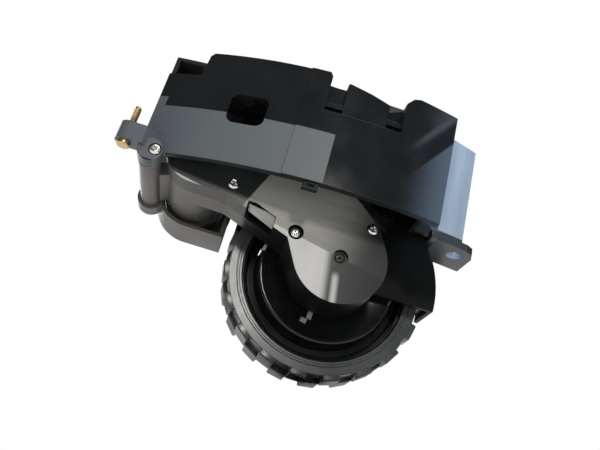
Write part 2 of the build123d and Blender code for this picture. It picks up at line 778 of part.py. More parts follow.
def mount_screw():
    """The brass screw that its thin shank holds captive in the front lug."""
    x, y = front_lug_screw_x, front_lug_screw_y
    seat_z = front_lug_low_z - gap / 3
    thread_z = front_lug_low_z + front_lug_height + gap
    screw = post(x, y, 2.2, seat_z - 1.4, seat_z)
    screw += post(x, y, mount_screw_shank_r, seat_z, thread_z)
    screw += post(x, y, mount_screw_r, thread_z, thread_z + mount_screw_thread_length)
    tip = Cone(mount_screw_r, mount_screw_r - 0.6, mount_screw_tip,
               align=(Align.CENTER, Align.CENTER, Align.MIN))
    return screw + Pos(x, y, thread_z + mount_screw_thread_length) * tip


def wheel_profile(grow):
    """The wheel bay seen from the front: the room swept by the tyre and its guard."""
    angles = (0, raised_angle / 2, raised_angle)
    return hull(*[(*polar(pivot_x, pivot_z, arm_length, a), well_r + grow) for a in angles])


def motor_profile(grow):
    """The motor bay seen from the front: the room swept by the motor and its horn."""
    left, right, top = bay_left_x - grow, bay_right_x + grow, bay_top_z + grow
    return outline([(left, 0), (right, 0), (right, top), (left + 4, top), (left, top - 4)])


def front_profile(grow):
    """The gearbox bay seen from the front."""
    half = grow / 2
    left, right, top = front_bay_left_x - grow, front_bay_right_x + grow, front_bay_top_z + grow
    drop = top - front_bay_drop
    return outline([(left, 0), (right, 0), (right, top - 8 - half), (8.0 + half, top),
                    (-26.0 - half, top), (-44.0 - half, drop), (-62.5, drop), (left, drop + 2.1)])


def end_screw_posts():
    posts = group([rod(x, z, 2.5, bay_back_y - end_post_length, bay_back_y)
                   for x, z in end_screw_places])
    return posts - block(-90, -73.5, 0, 40, 0, 60)


def inner_housing():
    """The wheel well: gearbox bay in front, wheel bay and motor bay behind it."""
    back_y = well_back_y + well_wall
    front_bay_back_y = gearbox_back_y + front_bay_back_gap
    shell = slab(front_profile(well_wall), front_bay_y, front_bay_back_y + well_wall)
    shell += slab(wheel_profile(well_wall), arch_front_y - well_wall, back_y)
    shell += slab(motor_profile(well_wall), front_bay_back_y, bay_back_y)
    room = slab(front_profile(0), front_bay_y + well_wall, front_bay_back_y)
    room += slab(wheel_profile(0), arch_front_y, well_back_y)
    room += slab(motor_profile(0) & front_profile(0), front_bay_back_y - 1, 0)
    room += slab(motor_profile(0), front_bay_back_y + well_wall, bay_back_y)
    room += block(bay_right_x - 2, -20, front_bay_back_y - 1, well_back_y, 0, 44.0)
    shell -= room
    shell += end_screw_posts()
    shell -= block(-100, 60, -60, 60, -60, well_low_z)
    shell -= block(-100, 60, -60, front_bay_y + well_wall, 0, shelf_z + shelf_wall + gap / 3)
    lower = outline([(-36.0, 12.0), (40.5, 12.0), (40.5, 30.0), (bay_right_x + 1, 30.0),
                     (bay_right_x + 1, well_low_z), (-36.0, well_low_z)])
    shell += slab(lower, well_back_y, back_y)
    shell += shelf_lip()
    shell -= curved_wall(-100, 60, skirt_r + 40, skirt_r - skirt_wall - gap, -60, 100)
    shell += rod(spring_hook_x, spring_hook_z, hook_pin_r, back_y - 0.5, spring_y + spring_r - 0.6)
    shell += rod(spring_hook_x, spring_hook_z, hook_pin_r + 0.7, spring_y + 1.2, spring_y + 1.9)
    shell += rod(spring_hook_x, spring_hook_z, 3.0, back_y - 0.5, spring_y - 1.2)
    for x, z in end_screw_places:
        shell -= rod(x, z, screw_thread_r + seat, bay_back_y - end_post_length + 0.3, bay_back_y)
    return shell


def shelf_lip():
    """The lip that rests on the outer housing's shelf, and its screw holes."""
    low = shelf_z + shelf_wall + gap / 3
    lip = block(-52, 18, -34, front_bay_y + 0.5, low, low + well_wall)
    for left, right in skirt_grooves:
        lip -= curved_wall(left - 1.4 - gap, right + 1.4 + gap, skirt_r, skirt_r - 6.0 - gap,
                           low - 1, low + well_wall + 1)
    for x, y in housing_screw_places:
        lip -= post(x, y, screw_thread_r + 0.2, low - 1, low + well_wall + 1)
    return lip


def motor_end_cover():
    """The cap over the motor's end: cradle band, back hinge ring and slotted plate."""
    back_y = bay_back_y + cover_wall
    inner_r = shroud_r + horn_wall + 0.4
    outer_r = inner_r + cradle_wall
    low_z = motor_z - outer_r
    ring = Pos(motor_x, motor_z) * (Circle(outer_r) - Circle(inner_r))
    band = ring & outline([(-80, -5), (motor_x, -5), (motor_x, motor_z - 6), (-80, motor_z - 6)])
    band += outline([(motor_x, low_z), (cradle_right_x, low_z), (cradle_right_x, 14.5),
                     (cradle_right_x - 1.4, 14.5), (cradle_right_x - 1.4, low_z + cradle_wall),
                     (motor_x, low_z + cradle_wall)])
    cover = slab(band, cradle_front_y, back_y)
    cover += rod(pivot_x, pivot_z, hinge_ring_r, barrel_back_y + gap, hinge_ring_end_y)
    floor = hull((motor_x, motor_z, outer_r), (bay_left_x + 6, 28.0, 4.0))
    floor += outline([(motor_x, low_z), (cradle_right_x, low_z), (cradle_right_x, 26.0),
                      (motor_x, 26.0)])
    plate = motor_profile(well_wall) & outline([(-90, 22), (0, 22), (0, 90), (-90, 90)])
    plate += hull((*end_screw_places[2], 2.9), (bay_right_x - 4.0, end_screw_places[2][1], 2.9))
    cover += slab(floor + plate, bay_back_y, back_y)
    cover -= slab(horn_slot(), bay_back_y - 1, back_y + 1)
    cover -= rod(pivot_x, pivot_z, pivot_pin_r + seat, 0, hinge_ring_end_y - 0.7)
    for y in (9.0, 11.2):
        cover -= block(pivot_x - 6, pivot_x - 3.4, y, y + 1.3, pivot_z - 2.5, pivot_z + 2.5)
    for x, z in end_screw_places:
        cover -= rod(x, z, screw_thread_r + 0.2, bay_back_y, back_y)
    return cover


def horn_slot():
    """The arc that the horn's pin sweeps, with room round it."""
    reach = math.dist((pivot_x, pivot_z), (motor_x, horn_z))
    start = math.degrees(math.atan2(horn_z - pivot_z, motor_x - pivot_x))
    room = hook_pin_r + 0.7
    band = Pos(pivot_x, pivot_z) * (Circle(reach + room) - Circle(reach - room))
    first = polar(pivot_x, pivot_z, 3 * reach, start)
    last = polar(pivot_x, pivot_z, 3 * reach, start + swing_deg)
    slot = band & outline([(pivot_x, pivot_z), first, last])
    for angle in (start, start + swing_deg):
        slot += Pos(*polar(pivot_x, pivot_z, reach, angle)) * Circle(room)
    return slot


def end_cover_screws():
    seat_y = bay_back_y + cover_wall
    return group([Pos(x, seat_y, z) * Rot(-90, 0, 0) * pan_screw(screw_head_r, 1.3,
                                                                 screw_thread_r, 5.8)
                  for x, z in end_screw_places])


# Connector
def connector_shell():
    """The open socket that the robot's plug enters."""
    left, low, wall = connector_x, connector_z, 1.0
    y_from = well_back_y + well_wall
    y_to = y_from + connector_depth
    shell = block(left, left + connector_width, y_from, y_to, low, low + connector_height)
    shell -= block(left + wall, left + connector_width - wall, y_from + 1.5, y_to,
                   low + wall, low + connector_height - wall)
    for x in contact_places():
        shell -= block(x - 0.32 - seat, x + 0.32 + seat, y_from, y_from + 1.5,
                       low + connector_height / 2 - 0.34, low + connector_height / 2 + 0.34)
    return shell


def contact_places():
    return [connector_x + connector_width / 2 + 2.0 * (n - 2.5) for n in range(6)]


def connector_contacts():
    y_from = well_back_y + well_wall
    middle = connector_z + connector_height / 2
    return group([block(x - 0.32, x + 0.32, y_from, y_from + 5.0, middle - 0.32, middle + 0.32)
                  for x in contact_places()])


parts = (
    tyre, wheel_rim, output_gear, output_shaft, shaft_clip, axle_screw,
    motor_pinion, motor_shaft, encoder_magnet,
    gearbox_cover, gearbox_case, gear_pins, cover_screws, front_bush, back_bush,
    motor_can, motor_end_cap, motor_terminals, motor_screws, encoder_board, spring_horn,
    pivot_pin, pivot_screw, suspension_spring, drop_switch, drop_switch_lever,
    outer_housing, inner_housing, motor_end_cover, housing_screws, end_cover_screws,
    mount_screw, connector_shell, connector_contacts,
)
for make in parts:
    save(make(), make.__name__)
for number in range(1, 5):
    save(compound_gear(number), f"reduction_gear_{number}")
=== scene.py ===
# %% [markdown]
# A wheel module of a robot vacuum, dressed for a studio picture. The shapes come from a packed
# CAD model: every rigid node is already in place, in metres, in one frame. This lesson gives each
# node its finish, swaps a few nodes for finer pieces, and sets up the floor, lamps and camera.
# The origin is the rear lug's screw hole. X runs along the skirt, Y into the robot, Z is up.

# %% Load the frame
import math

import bmesh
import bpy
from mathutils import Matrix, Vector


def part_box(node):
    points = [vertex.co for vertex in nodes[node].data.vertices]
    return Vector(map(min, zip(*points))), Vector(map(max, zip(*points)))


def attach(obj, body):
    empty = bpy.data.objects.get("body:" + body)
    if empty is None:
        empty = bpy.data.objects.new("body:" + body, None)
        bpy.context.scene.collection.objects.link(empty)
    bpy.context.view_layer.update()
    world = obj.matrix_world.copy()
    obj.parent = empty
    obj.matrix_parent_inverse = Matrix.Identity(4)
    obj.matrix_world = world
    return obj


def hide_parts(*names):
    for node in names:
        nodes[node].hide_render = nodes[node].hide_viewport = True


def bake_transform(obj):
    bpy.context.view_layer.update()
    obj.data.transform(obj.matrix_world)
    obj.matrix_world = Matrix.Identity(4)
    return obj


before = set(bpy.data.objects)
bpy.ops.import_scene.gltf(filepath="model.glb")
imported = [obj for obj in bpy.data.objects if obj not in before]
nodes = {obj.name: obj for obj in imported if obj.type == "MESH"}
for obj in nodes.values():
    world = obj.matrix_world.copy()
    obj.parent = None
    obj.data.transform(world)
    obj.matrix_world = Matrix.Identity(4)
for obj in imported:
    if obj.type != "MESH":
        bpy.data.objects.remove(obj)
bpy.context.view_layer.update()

# %% [markdown]
# The drawing of this module is dimensioned from the wheel's axle, in millimetres, with y = 0 in
# the tyre's outer face. One small function turns such a place into the frame's metres, so that
# every later number can be read against the real object.

# %% Places measured from the axle
tyre_low, tyre_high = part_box("tyre")
wheel_r = (tyre_high.z - tyre_low.z) / 2
axle = Vector(((tyre_low.x + tyre_high.x) / 2, tyre_low.y, (tyre_low.z + tyre_high.z) / 2))


def at(x, y, z):
    """A place given in millimetres from the axle, in the frame's metres."""
    return axle + Vector((x, y, z)) / 1000


print("axle at", [round(v * 1000, 2) for v in axle], "mm, wheel radius", round(wheel_r * 1000, 2))

# %% [markdown]
# The picture is taken from below and in front of the skirt, with the camera rolled to one side.
# Aiming it by hand would take three rotations and much trial. Its place was solved from the
# wheel, the screws and the skirt instead, so it is written as a matrix: the columns are the
# camera's right, up and backward directions, and then its position.

# %% The camera
def placed(name, data):
    """A new object of the scene that shows a mesh, a lamp or a camera."""
    thing = bpy.data.objects.new(name, data)
    bpy.context.scene.collection.objects.link(thing)
    return thing


camera_data = bpy.data.cameras.new("photo_camera")
camera_data.sensor_width = 36.0
camera_data.lens = 39.2
camera_data.clip_start = 0.01
camera = placed("photo_camera", camera_data)
camera.matrix_world = Matrix((
    (0.9515, -0.2989, -0.0712, -0.0661),
    (-0.1898, -0.3896, -0.9012, -0.1869),
    (0.2417, 0.8714, -0.4268, -0.0945),
    (0.0, 0.0, 0.0, 1.0),
))
bpy.context.scene.camera = camera
print("camera is", round((camera.matrix_world.translation - axle).length, 3), "m from the axle")

# %% [markdown]
# The floor, the world, the finishes and the grown pieces are all node trees. Nodes can be placed
# by hand in Blender's editor, but in a script that takes a line for every setting and link. These
# few helpers keep a node with its settings and wires in one call.

# %% Helpers for node trees
def wire(tree, node, wires):
    """Give a node's inputs plain values or other nodes' outputs."""
    for key, value in wires.items():
        if isinstance(value, bpy.types.NodeSocket):
            tree.links.new(value, node.inputs[key])
        else:
            node.inputs[key].default_value = value


def add(tree, kind, wires=None, **settings):
    """Add a node with its settings and wires."""
    node = tree.nodes.new(kind)
    for key, value in settings.items():
        setattr(node, key, value)
    wire(tree, node, wires or {})
    return node


def calc(tree, operation, a, b=0.0):
    """One step of arithmetic on sockets or numbers."""
    return add(tree, "ShaderNodeMath", {0: a, 1: b}, operation=operation).outputs[0]


def emptied(owner):
    """The node tree of a material or world, with nothing in it yet."""
    owner.use_nodes = True
    owner.node_tree.nodes.clear()
    return owner.node_tree


print("node helpers: wire, add, calc, emptied")

# %% [markdown]
# The module hangs above a plain pale floor that its wheel just touches. The camera looks up
# from under that floor, so the floor is one-sided: its back lets every ray through, and from
# above it is an ordinary matt floor that keeps the shadow.

# %% The floor
floor_r, floor_corners, floor_gap = 1.6, 64, 0.0004
floor_z = axle.z - wheel_r - floor_gap
turns = [corner * math.tau / floor_corners for corner in range(floor_corners)]
floor_mesh = bpy.data.meshes.new("floor")
floor_mesh.from_pydata([(floor_r * math.cos(a), floor_r * math.sin(a), floor_z) for a in turns],
                       [], [list(range(floor_corners))])
floor = placed("floor", floor_mesh)

floor_material = bpy.data.materials.new("pale_floor")
tree = emptied(floor_material)
matt = add(tree, "ShaderNodeBsdfDiffuse", {"Color": (0.82, 0.82, 0.82, 1)})
clear = add(tree, "ShaderNodeBsdfTransparent")
from_below = add(tree, "ShaderNodeNewGeometry").outputs["Backfacing"]
one_sided = add(tree, "ShaderNodeMixShader",
                {0: from_below, 1: matt.outputs[0], 2: clear.outputs[0]})
add(tree, "ShaderNodeOutputMaterial", {"Surface": one_sided.outputs[0]})
floor_mesh.materials.append(floor_material)
print("floor at z", round(floor_z * 1000, 1), "mm")

# %% [markdown]
# Dark plastic shows its light mostly as reflections, so point lamps would give hard dots on it.
# The lamps are soft panels instead, placed where a mirror on the skirt, on the gearbox cover or
# on the tyre's sidewall would see them. The tyre's panel is small and bright, so its reflection
# is only the pale arc on the left of the sidewall.

# %% The lamps
def soft_panel(name, place, target, size, watts, colour=(1, 1, 1)):
    """A rectangular lamp at place, turned to target. Places are millimetres from the axle."""
    data = bpy.data.lights.new(name, "AREA")
    data.shape = "RECTANGLE"
    data.size, data.size_y = size
    data.energy = watts
    data.color = colour
    lamp = placed(name, data)
    lamp.location = at(*place)
    heading = at(*target) - lamp.location
    lamp.rotation_euler = heading.to_track_quat("-Z", "Y").to_euler()
    radiance = watts / (math.pi * size[0] * size[1])
    print(f"{name}: {radiance:.1f} W per square metre and steradian")


soft_panel("low_panel", (-260, -800, -330), (-10, -10, 10), (0.7, 0.3), 1.8, (1.0, 0.95, 0.86))
soft_panel("high_panel", (-60, -380, 760), (-10, -10, 20), (0.6, 0.3), 3.0)
soft_panel("window_panel", (560, -620, 520), (25, -30, 30), (0.34, 0.5), 0.7, (0.66, 0.82, 1.0))
soft_panel("tyre_panel", (-16, -650, 228), (-33, 0, 0), (0.071, 0.091), 1.05, (1.0, 0.98, 0.93))
soft_panel("top_panel", (0, 250, 900), (0, 0, 20), (0.9, 0.7), 5.0)
soft_panel("back_panel", (-500, 600, 300), (0, 0, 20), (0.5, 0.5), 3.0)

# %% [markdown]
# The background is white, but a white world would also fill every dark face with a white
# reflection. So the world's strength depends on who looks: the camera sees full white, matt
# surfaces get a soft fill, and gloss sees a dim, even room between the panels.

# %% The world
seen_white, matt_fill, gloss_room = 1.0, 0.38, 0.10
world = bpy.data.worlds.new("studio")
bpy.context.scene.world = world
tree = emptied(world)
rays = add(tree, "ShaderNodeLightPath").outputs
seen = calc(tree, "MAXIMUM", rays["Is Camera Ray"], rays["Is Transmission Ray"])
strength = add(tree, "ShaderNodeMapRange",
               {"Value": seen, "To Min": matt_fill, "To Max": seen_white})
dimmed = add(tree, "ShaderNodeMapRange", {
    "Value": rays["Is Glossy Ray"], "To Min": strength.outputs[0], "To Max": gloss_room})
sky = add(tree, "ShaderNodeBackground", {"Color": (1, 1, 1, 1), "Strength": dimmed.outputs[0]})
add(tree, "ShaderNodeOutputWorld", {"Surface": sky.outputs[0]})
bpy.context.scene.view_settings.view_transform = "Standard"
print("world nodes:", len(tree.nodes))

# %% [markdown]
# A finish is a colour, a gloss and a very fine relief. Moulded plastic copies the tool it was
# cast in, so its grain is small and even, with slow changes of gloss where it flowed. An image
# texture would need unwrapping, while noise on the object's own coordinates fits any shape. One
# helper makes the shader and its two scales of noise, and each finish below adds what is its own.

# %% A helper for finishes
flow_scale = 90
noise_span = (0.3, 0.7)


def noise(tree, stretch, scale, detail):
    """Noise on the object's own coordinates, drawn out along an axis where stretch is small."""
    place = add(tree, "ShaderNodeTexCoord").outputs["Object"]
    drawn = add(tree, "ShaderNodeMapping", {"Vector": place, "Scale": stretch}).outputs[0]
    return add(tree, "ShaderNodeTexNoise",
               {"Vector": drawn, "Scale": scale, "Detail": detail}).outputs["Fac"]


def ranged(tree, value, start, end, low=0.0, high=1.0, **settings):
    """Carry a value's range from start and end over to low and high."""
    return add(tree, "ShaderNodeMapRange", {
        "Value": value, "From Min": start, "From Max": end, "To Min": low, "To Max": high},
        **settings).outputs[0]


def finish(name, dark, light, rough, grain_mm, relief_mm, specular=0.5, metallic=0.0,
           stretch=(1, 1, 1), edge_mm=0.15):
    """A finish that wanders between two colours and two roughnesses, with a fine relief."""
    material = bpy.data.materials.new(name)
    material.use_nodes = True
    tree = material.node_tree
    slow = noise(tree, stretch, flow_scale, 5)
    fine = noise(tree, stretch, 1000 / grain_mm, 3)
    colour = add(tree, "ShaderNodeMix",
                 {"Factor": slow, "A": (*dark, 1), "B": (*light, 1)}, data_type="RGBA")
    rounding = add(tree, "ShaderNodeBevel", {"Radius": edge_mm / 1000}, samples=4)
    bump = add(tree, "ShaderNodeBump", {
        "Normal": rounding.outputs[0], "Height": fine, "Distance": relief_mm / 1000,
        "Strength": 1.0})
    wire(tree, tree.nodes["Principled BSDF"], {
        "Base Color": colour.outputs["Result"],
        "Roughness": ranged(tree, slow, *noise_span, *rough),
        "Normal": bump.outputs[0], "Specular IOR Level": specular, "Metallic": metallic})
    return material


def dress(material, *names):
    """Give CAD nodes one finish all over."""
    for name in names:
        mesh = nodes[name].data
        mesh.materials.clear()
        mesh.materials.append(material)
    print(f"{material.name}: {', '.join(names)}")


print("finish helpers: noise, ranged, finish, dress")

# %% [markdown]
# Some mouldings change their look within one surface, as where the tool was etched, and on some a
# reflection of a bright wall or the shade of a dark gap is painted in. Painting such areas would
# need an image. Masks on the object's own coordinates do it with a few numbers: a box, one side of
# a plane, and streaks that fade an area unevenly. Each area is then laid over the finish.

# %% Helpers for areas of a finish
box_edge_mm = 0.15


def joined(tree, operation, *masks):
    """Several masks as one: MAXIMUM gives their union, MULTIPLY and MINIMUM what they share."""
    total = masks[0]
    for mask in masks[1:]:
        total = calc(tree, operation, total, mask)
    return total


def box_mask(tree, low, high):
    """1 inside a box in object coordinates, 0 outside. Corners are metres."""
    place = add(tree, "ShaderNodeTexCoord").outputs["Object"]
    split = add(tree, "ShaderNodeSeparateXYZ", {0: place}).outputs
    edge = box_edge_mm / 2000
    return joined(tree, "MINIMUM", *(
        ranged(tree, split[axis], limit - sign * edge, limit + sign * edge)
        for axis, limits in zip("XYZ", zip(low, high))
        for limit, sign in zip(limits, (1, -1))))


def side_mask(tree, point, towards, edge_mm):
    """1 on one side of a plane through the point, 0 on the other, over a soft edge."""
    place = add(tree, "ShaderNodeTexCoord").outputs["Object"]
    offset = add(tree, "ShaderNodeVectorMath", {0: place, 1: point}, operation="SUBTRACT")
    reach = add(tree, "ShaderNodeVectorMath",
                {0: offset.outputs[0], 1: Vector(towards).normalized()}, operation="DOT_PRODUCT")
    return ranged(tree, reach.outputs["Value"], -edge_mm / 2000, edge_mm / 2000,
                  interpolation_type="SMOOTHSTEP")


def streaks(tree, stretch, size_mm, low, high):
    """Noise drawn out along an axis, between two strengths, to fade a mask unevenly."""
    return ranged(tree, noise(tree, stretch, 1000 / size_mm, 3), *noise_span, low, high)


def lay_over(material, mask, colour, rough, specular=None):
    """Change a finish's colour and roughness where the mask is 1, and its gloss where given."""
    tree = material.node_tree
    shader = tree.nodes["Principled BSDF"]
    changes = {"Base Color": (*colour, 1), "Roughness": rough}
    if specular is not None:
        changes["Specular IOR Level"] = specular
    for socket, value in changes.items():
        entry = shader.inputs[socket]
        old = entry.links[0].from_socket if entry.is_linked else entry.default_value
        over = add(tree, "ShaderNodeMix", {"Factor": mask, "A": old, "B": value},
                   data_type="RGBA" if socket == "Base Color" else "FLOAT")
        tree.links.new(over.outputs["Result"], entry)


print("area helpers: joined, box_mask, side_mask, streaks, lay_over")

# %% [markdown]
# The outer housing is glossy black. Its lower half is a matt grey band with stepped ends, which
# is a grained area of the same moulding. It grows darker and bluer towards the left lug. The
# skirt's lower edge and its small hook face down into the dark, so they get a painted shade:
# nearly black and almost without gloss. Two boxes joined by maximum give the band its stepped end.

# %% The outer housing's band
housing_gloss = finish("housing_gloss", (0.006, 0.0075, 0.0085), (0.010, 0.012, 0.014),
                       (0.10, 0.20), 0.25, 0.0006)
tree = housing_gloss.node_tree
band = joined(tree, "MAXIMUM",
              box_mask(tree, at(-90, -60, 10), at(-13.6, -14, 33.2)),
              box_mask(tree, at(-90, -60, 10), at(-70.2, -14, 37.0)))
left_end = joined(tree, "MULTIPLY", band, side_mask(tree, at(-60, 0, 20), (-1, 0, 0), 22))
low_edge_shade = joined(tree, "MULTIPLY", side_mask(tree, at(0, 0, 14.72), (0, 0, -1), 0.3),
                  box_mask(tree, at(-63.8, -60, 5), at(17, -14, 15.5)))
# The skirt's low edge gets a painted shade, nearly black and almost without gloss.
for area in ((band, (0.092, 0.105, 0.112), 0.45),
             (left_end, (0.073, 0.083, 0.097), 0.45),
             (low_edge_shade, (0.010, 0.011, 0.012), 0.40, 0.15)):
    lay_over(housing_gloss, *area)
print("housing nodes with the band:", len(tree.nodes))

# %% [markdown]
# At the right the skirt bends inwards along a slanting fold. Below the fold the skirt gets a
# painted reflection of a blue window, above it a painted dark shade and then a painted thin sheen.
# A window lamp alone would light every face that leans the same way, so these three are painted
# into the colour, cut by planes along the fold and faded out to the left. The low wall and the
# wall of the lug's hole get a painted reflection of the same window.

# %% The outer housing's right end
below_fold = Vector((0.81, 0, -0.59))
skirt_end = joined(tree, "MULTIPLY", side_mask(tree, at(14, 0, 20), (1, 0, 0), 10),
                   box_mask(tree, at(5, -60, 12.4), at(26, -20, 60)))
flank_reflection = joined(tree, "MULTIPLY",
               side_mask(tree, at(19.3, -36.5, 36.5), below_fold, 1.2),
               side_mask(tree, at(18.5, 0, 20), (1, 0, 0), 19),
               box_mask(tree, at(5, -60, 12.4), at(29, -20, 60)))
fold_shade = joined(tree, "MULTIPLY", skirt_end,
                    side_mask(tree, at(19.3, -36.5, 36.5), -below_fold, 0.8),
                    side_mask(tree, at(14.8, -36.5, 39.7), below_fold, 2.5))
fold_sheen = joined(tree, "MULTIPLY", skirt_end,
                    side_mask(tree, at(14.6, -36.5, 39.9), -below_fold, 2.2),
                    side_mask(tree, at(13.2, -36.5, 40.9), below_fold, 2.2))
low_wall_reflection = joined(tree, "MULTIPLY", box_mask(tree, at(26.1, -60, 13.2), at(60, -28, 60)),
                  streaks(tree, (1, 1, 0.12), 4.0, 0.72, 1.0))
rear_lug = box_mask(tree, at(26.5, -60, 9), at(60, -14, 12.9))
hole_wall_reflection = box_mask(tree, at(32.7, -26.6, 10.1), at(38.1, -23.9, 12.3))
# Painted reflections of a blue window, a painted shade and a painted sheen, laid into the colour.
for area in ((flank_reflection, (0.048, 0.070, 0.105), 0.25),
             (fold_shade, (0.004, 0.0055, 0.0085), 0.35, 0.15),
             (fold_sheen, (0.034, 0.034, 0.037), 0.40),
             (low_wall_reflection, (0.29, 0.38, 0.50), 0.24),
             (rear_lug, (0.020, 0.022, 0.029), 0.35),
             (hole_wall_reflection, (0.36, 0.46, 0.62), 0.25)):
    lay_over(housing_gloss, *area)
dress(housing_gloss, "outer_housing")

# %% [markdown]
# The gearbox case and the motor's end cover are a warm grey, matt moulding. The case's right end
# lies over the wheel, deep in shadow, and gets a painted shade there, nearly black. One plane
# divides the two, with a soft edge, and the same plane divides the edge walls of the gearbox cover
# in the next cell.

# %% The gearbox case
shadow_from, shadow_way, shadow_edge = at(-34.0, -15, 6), Vector((1, 0, -0.25)), 2.5
case_grey = finish("case_grey", (0.072, 0.068, 0.062), (0.095, 0.090, 0.082),
                   (0.38, 0.52), 0.28, 0.004)
# A painted shade, nearly black, on the case's right end where it lies over the wheel.
lay_over(case_grey, side_mask(case_grey.node_tree, shadow_from, shadow_way, shadow_edge),
         (0.0045, 0.005, 0.005), 0.45, 0.12)
dress(case_grey, "gearbox_case", "motor_end_cover", "spring_horn")

# %% [markdown]
# The gearbox cover is dark plastic with fine brush marks: the noise is drawn out along X, as the
# tool's polish was. Above a slanting crease its front face gets a painted grey reflection,
# streaked and fading to the right. Below the crease the face leans down, where its left part gets
# a painted reflection of a bright wall, its right part a painted shade, and a painted narrow glint
# lies between them. The walls of its edge are grey, with a painted shade where they lie over the
# wheel.

# %% The gearbox cover
cover_grey = finish("cover_grey", (0.012, 0.014, 0.014), (0.022, 0.024, 0.024),
                    (0.26, 0.36), 0.16, 0.0030, specular=0.4, stretch=(0.06, 1, 1))
tree = cover_grey.node_tree
front_face = side_mask(tree, at(0, -21.2, 0), (0, -1, 0), 0.3)
edge_walls = side_mask(tree, at(0, -21.2, 0), (0, 1, 0), 0.3)
shaded_walls = joined(tree, "MULTIPLY", edge_walls,
                    side_mask(tree, shadow_from, shadow_way, shadow_edge))
grey_walls = joined(tree, "MULTIPLY", edge_walls,
                    side_mask(tree, shadow_from, -shadow_way, shadow_edge))
brushed_reflection = joined(tree, "MULTIPLY", front_face,
                 side_mask(tree, at(-30.1, 0, 19.8), (0.927, 0, -0.376), 0.5),
                 side_mask(tree, at(1.0, 0, 8), (-1, 0, 0.25), 20),
                 streaks(tree, (0.18, 1, 1), 3.5, 0.72, 1.0))
below_crease = joined(tree, "MULTIPLY", front_face,
                      side_mask(tree, at(-16.4, 0, 2.8), (-0.195, 0, -0.981), 0.4))
shadowed = joined(tree, "MULTIPLY", below_crease,
                  side_mask(tree, at(-3.0, 0, -8), (1, 0, 0.1), 3.0))
facet_reflection = joined(tree, "MULTIPLY", below_crease,
                      side_mask(tree, at(-3.4, 0, -8), (-1, 0, -0.1), 3.5),
                      streaks(tree, (1, 1, 0.2), 5.0, 0.75, 1.0))
glint = joined(tree, "MULTIPLY", front_face,
               side_mask(tree, at(-0.8, 0, -11), (1, 0, 0.1), 1.8),
               side_mask(tree, at(1.0, 0, -11), (-1, 0, -0.1), 1.8),
               side_mask(tree, at(0, 0, -6.5), (0, 0, -1), 3.0))
# Painted shade, painted reflections and a painted glint, laid into the cover's colour.
for area in ((shaded_walls, (0.0045, 0.005, 0.005), 0.45, 0.12),
             (grey_walls, (0.060, 0.057, 0.052), 0.50),
             (brushed_reflection, (0.29, 0.286, 0.264), 0.36),
             (shadowed, (0.014, 0.016, 0.017), 0.30),
             (facet_reflection, (0.55, 0.54, 0.52), 0.32),
             (glint, (0.50, 0.49, 0.48), 0.32)):
    lay_over(cover_grey, *area)
dress(cover_grey, "gearbox_cover")

# %% [markdown]
# The other mouldings need no areas of their own. The inner housing is satin black, the rim is
# polished black, and the gears are milky acetal. The tyre's rubber is dark grey with the broad,
# soft gloss of an unused tyre. Each is one call, with its grain and relief at the real scale.

# %% Plain mouldings and rubber
satin_black = finish("satin_black", (0.010, 0.0105, 0.011), (0.018, 0.019, 0.020),
                     (0.32, 0.48), 0.30, 0.004)
rim_black = finish("rim_black", (0.005, 0.0055, 0.006), (0.009, 0.010, 0.010),
                   (0.10, 0.22), 0.3, 0.0008)
acetal = finish("acetal", (0.62, 0.60, 0.54), (0.74, 0.72, 0.66), (0.35, 0.5), 0.3, 0.002)
switch_plastic = finish("switch_plastic", (0.03, 0.03, 0.032), (0.05, 0.05, 0.052),
                        (0.4, 0.6), 0.2, 0.003)
nylon = finish("nylon", (0.60, 0.57, 0.47), (0.72, 0.69, 0.58), (0.4, 0.55), 0.25, 0.003)
board_green = finish("board_green", (0.01, 0.10, 0.05), (0.02, 0.16, 0.08),
                     (0.3, 0.45), 0.3, 0.003)
rubber = finish("rubber", (0.036, 0.039, 0.042), (0.056, 0.060, 0.064),
                (0.24, 0.32), 0.35, 0.004, specular=0.75)
dress(satin_black, "inner_housing", "motor_end_cap")
dress(rim_black, "wheel_rim")
dress(acetal, "reduction_gear_1", "reduction_gear_2", "reduction_gear_3", "reduction_gear_4",
      "output_gear")
dress(switch_plastic, "drop_switch")
dress(nylon, "connector_shell")
dress(board_green, "encoder_board")
dress(rubber, "tyre")

# %% [markdown]
# Metals have almost no colour of their own in the shader's diffuse part: their colour is the
# reflection's. Turning marks are a relief stretched along the part, and plating wanders in gloss.
# The same helper makes them, with its metallic value at or near 1. Only the magnet's ferrite is a
# dull ceramic, and keeps it at 0.

# %% Metals
steel = finish("steel", (0.50, 0.50, 0.50), (0.60, 0.60, 0.60), (0.20, 0.35), 0.15, 0.002,
               metallic=1.0, stretch=(1, 0.1, 1))
plated = finish("plated", (0.62, 0.60, 0.56), (0.78, 0.76, 0.72), (0.16, 0.30), 0.2, 0.003,
                metallic=1.0)
spring_wire = finish("spring_wire", (0.45, 0.45, 0.46), (0.60, 0.60, 0.61), (0.22, 0.36),
                     0.2, 0.002, metallic=1.0)
brass = finish("brass", (0.46, 0.33, 0.16), (0.60, 0.45, 0.24), (0.24, 0.38), 0.2, 0.003,
               metallic=1.0, edge_mm=0.05)
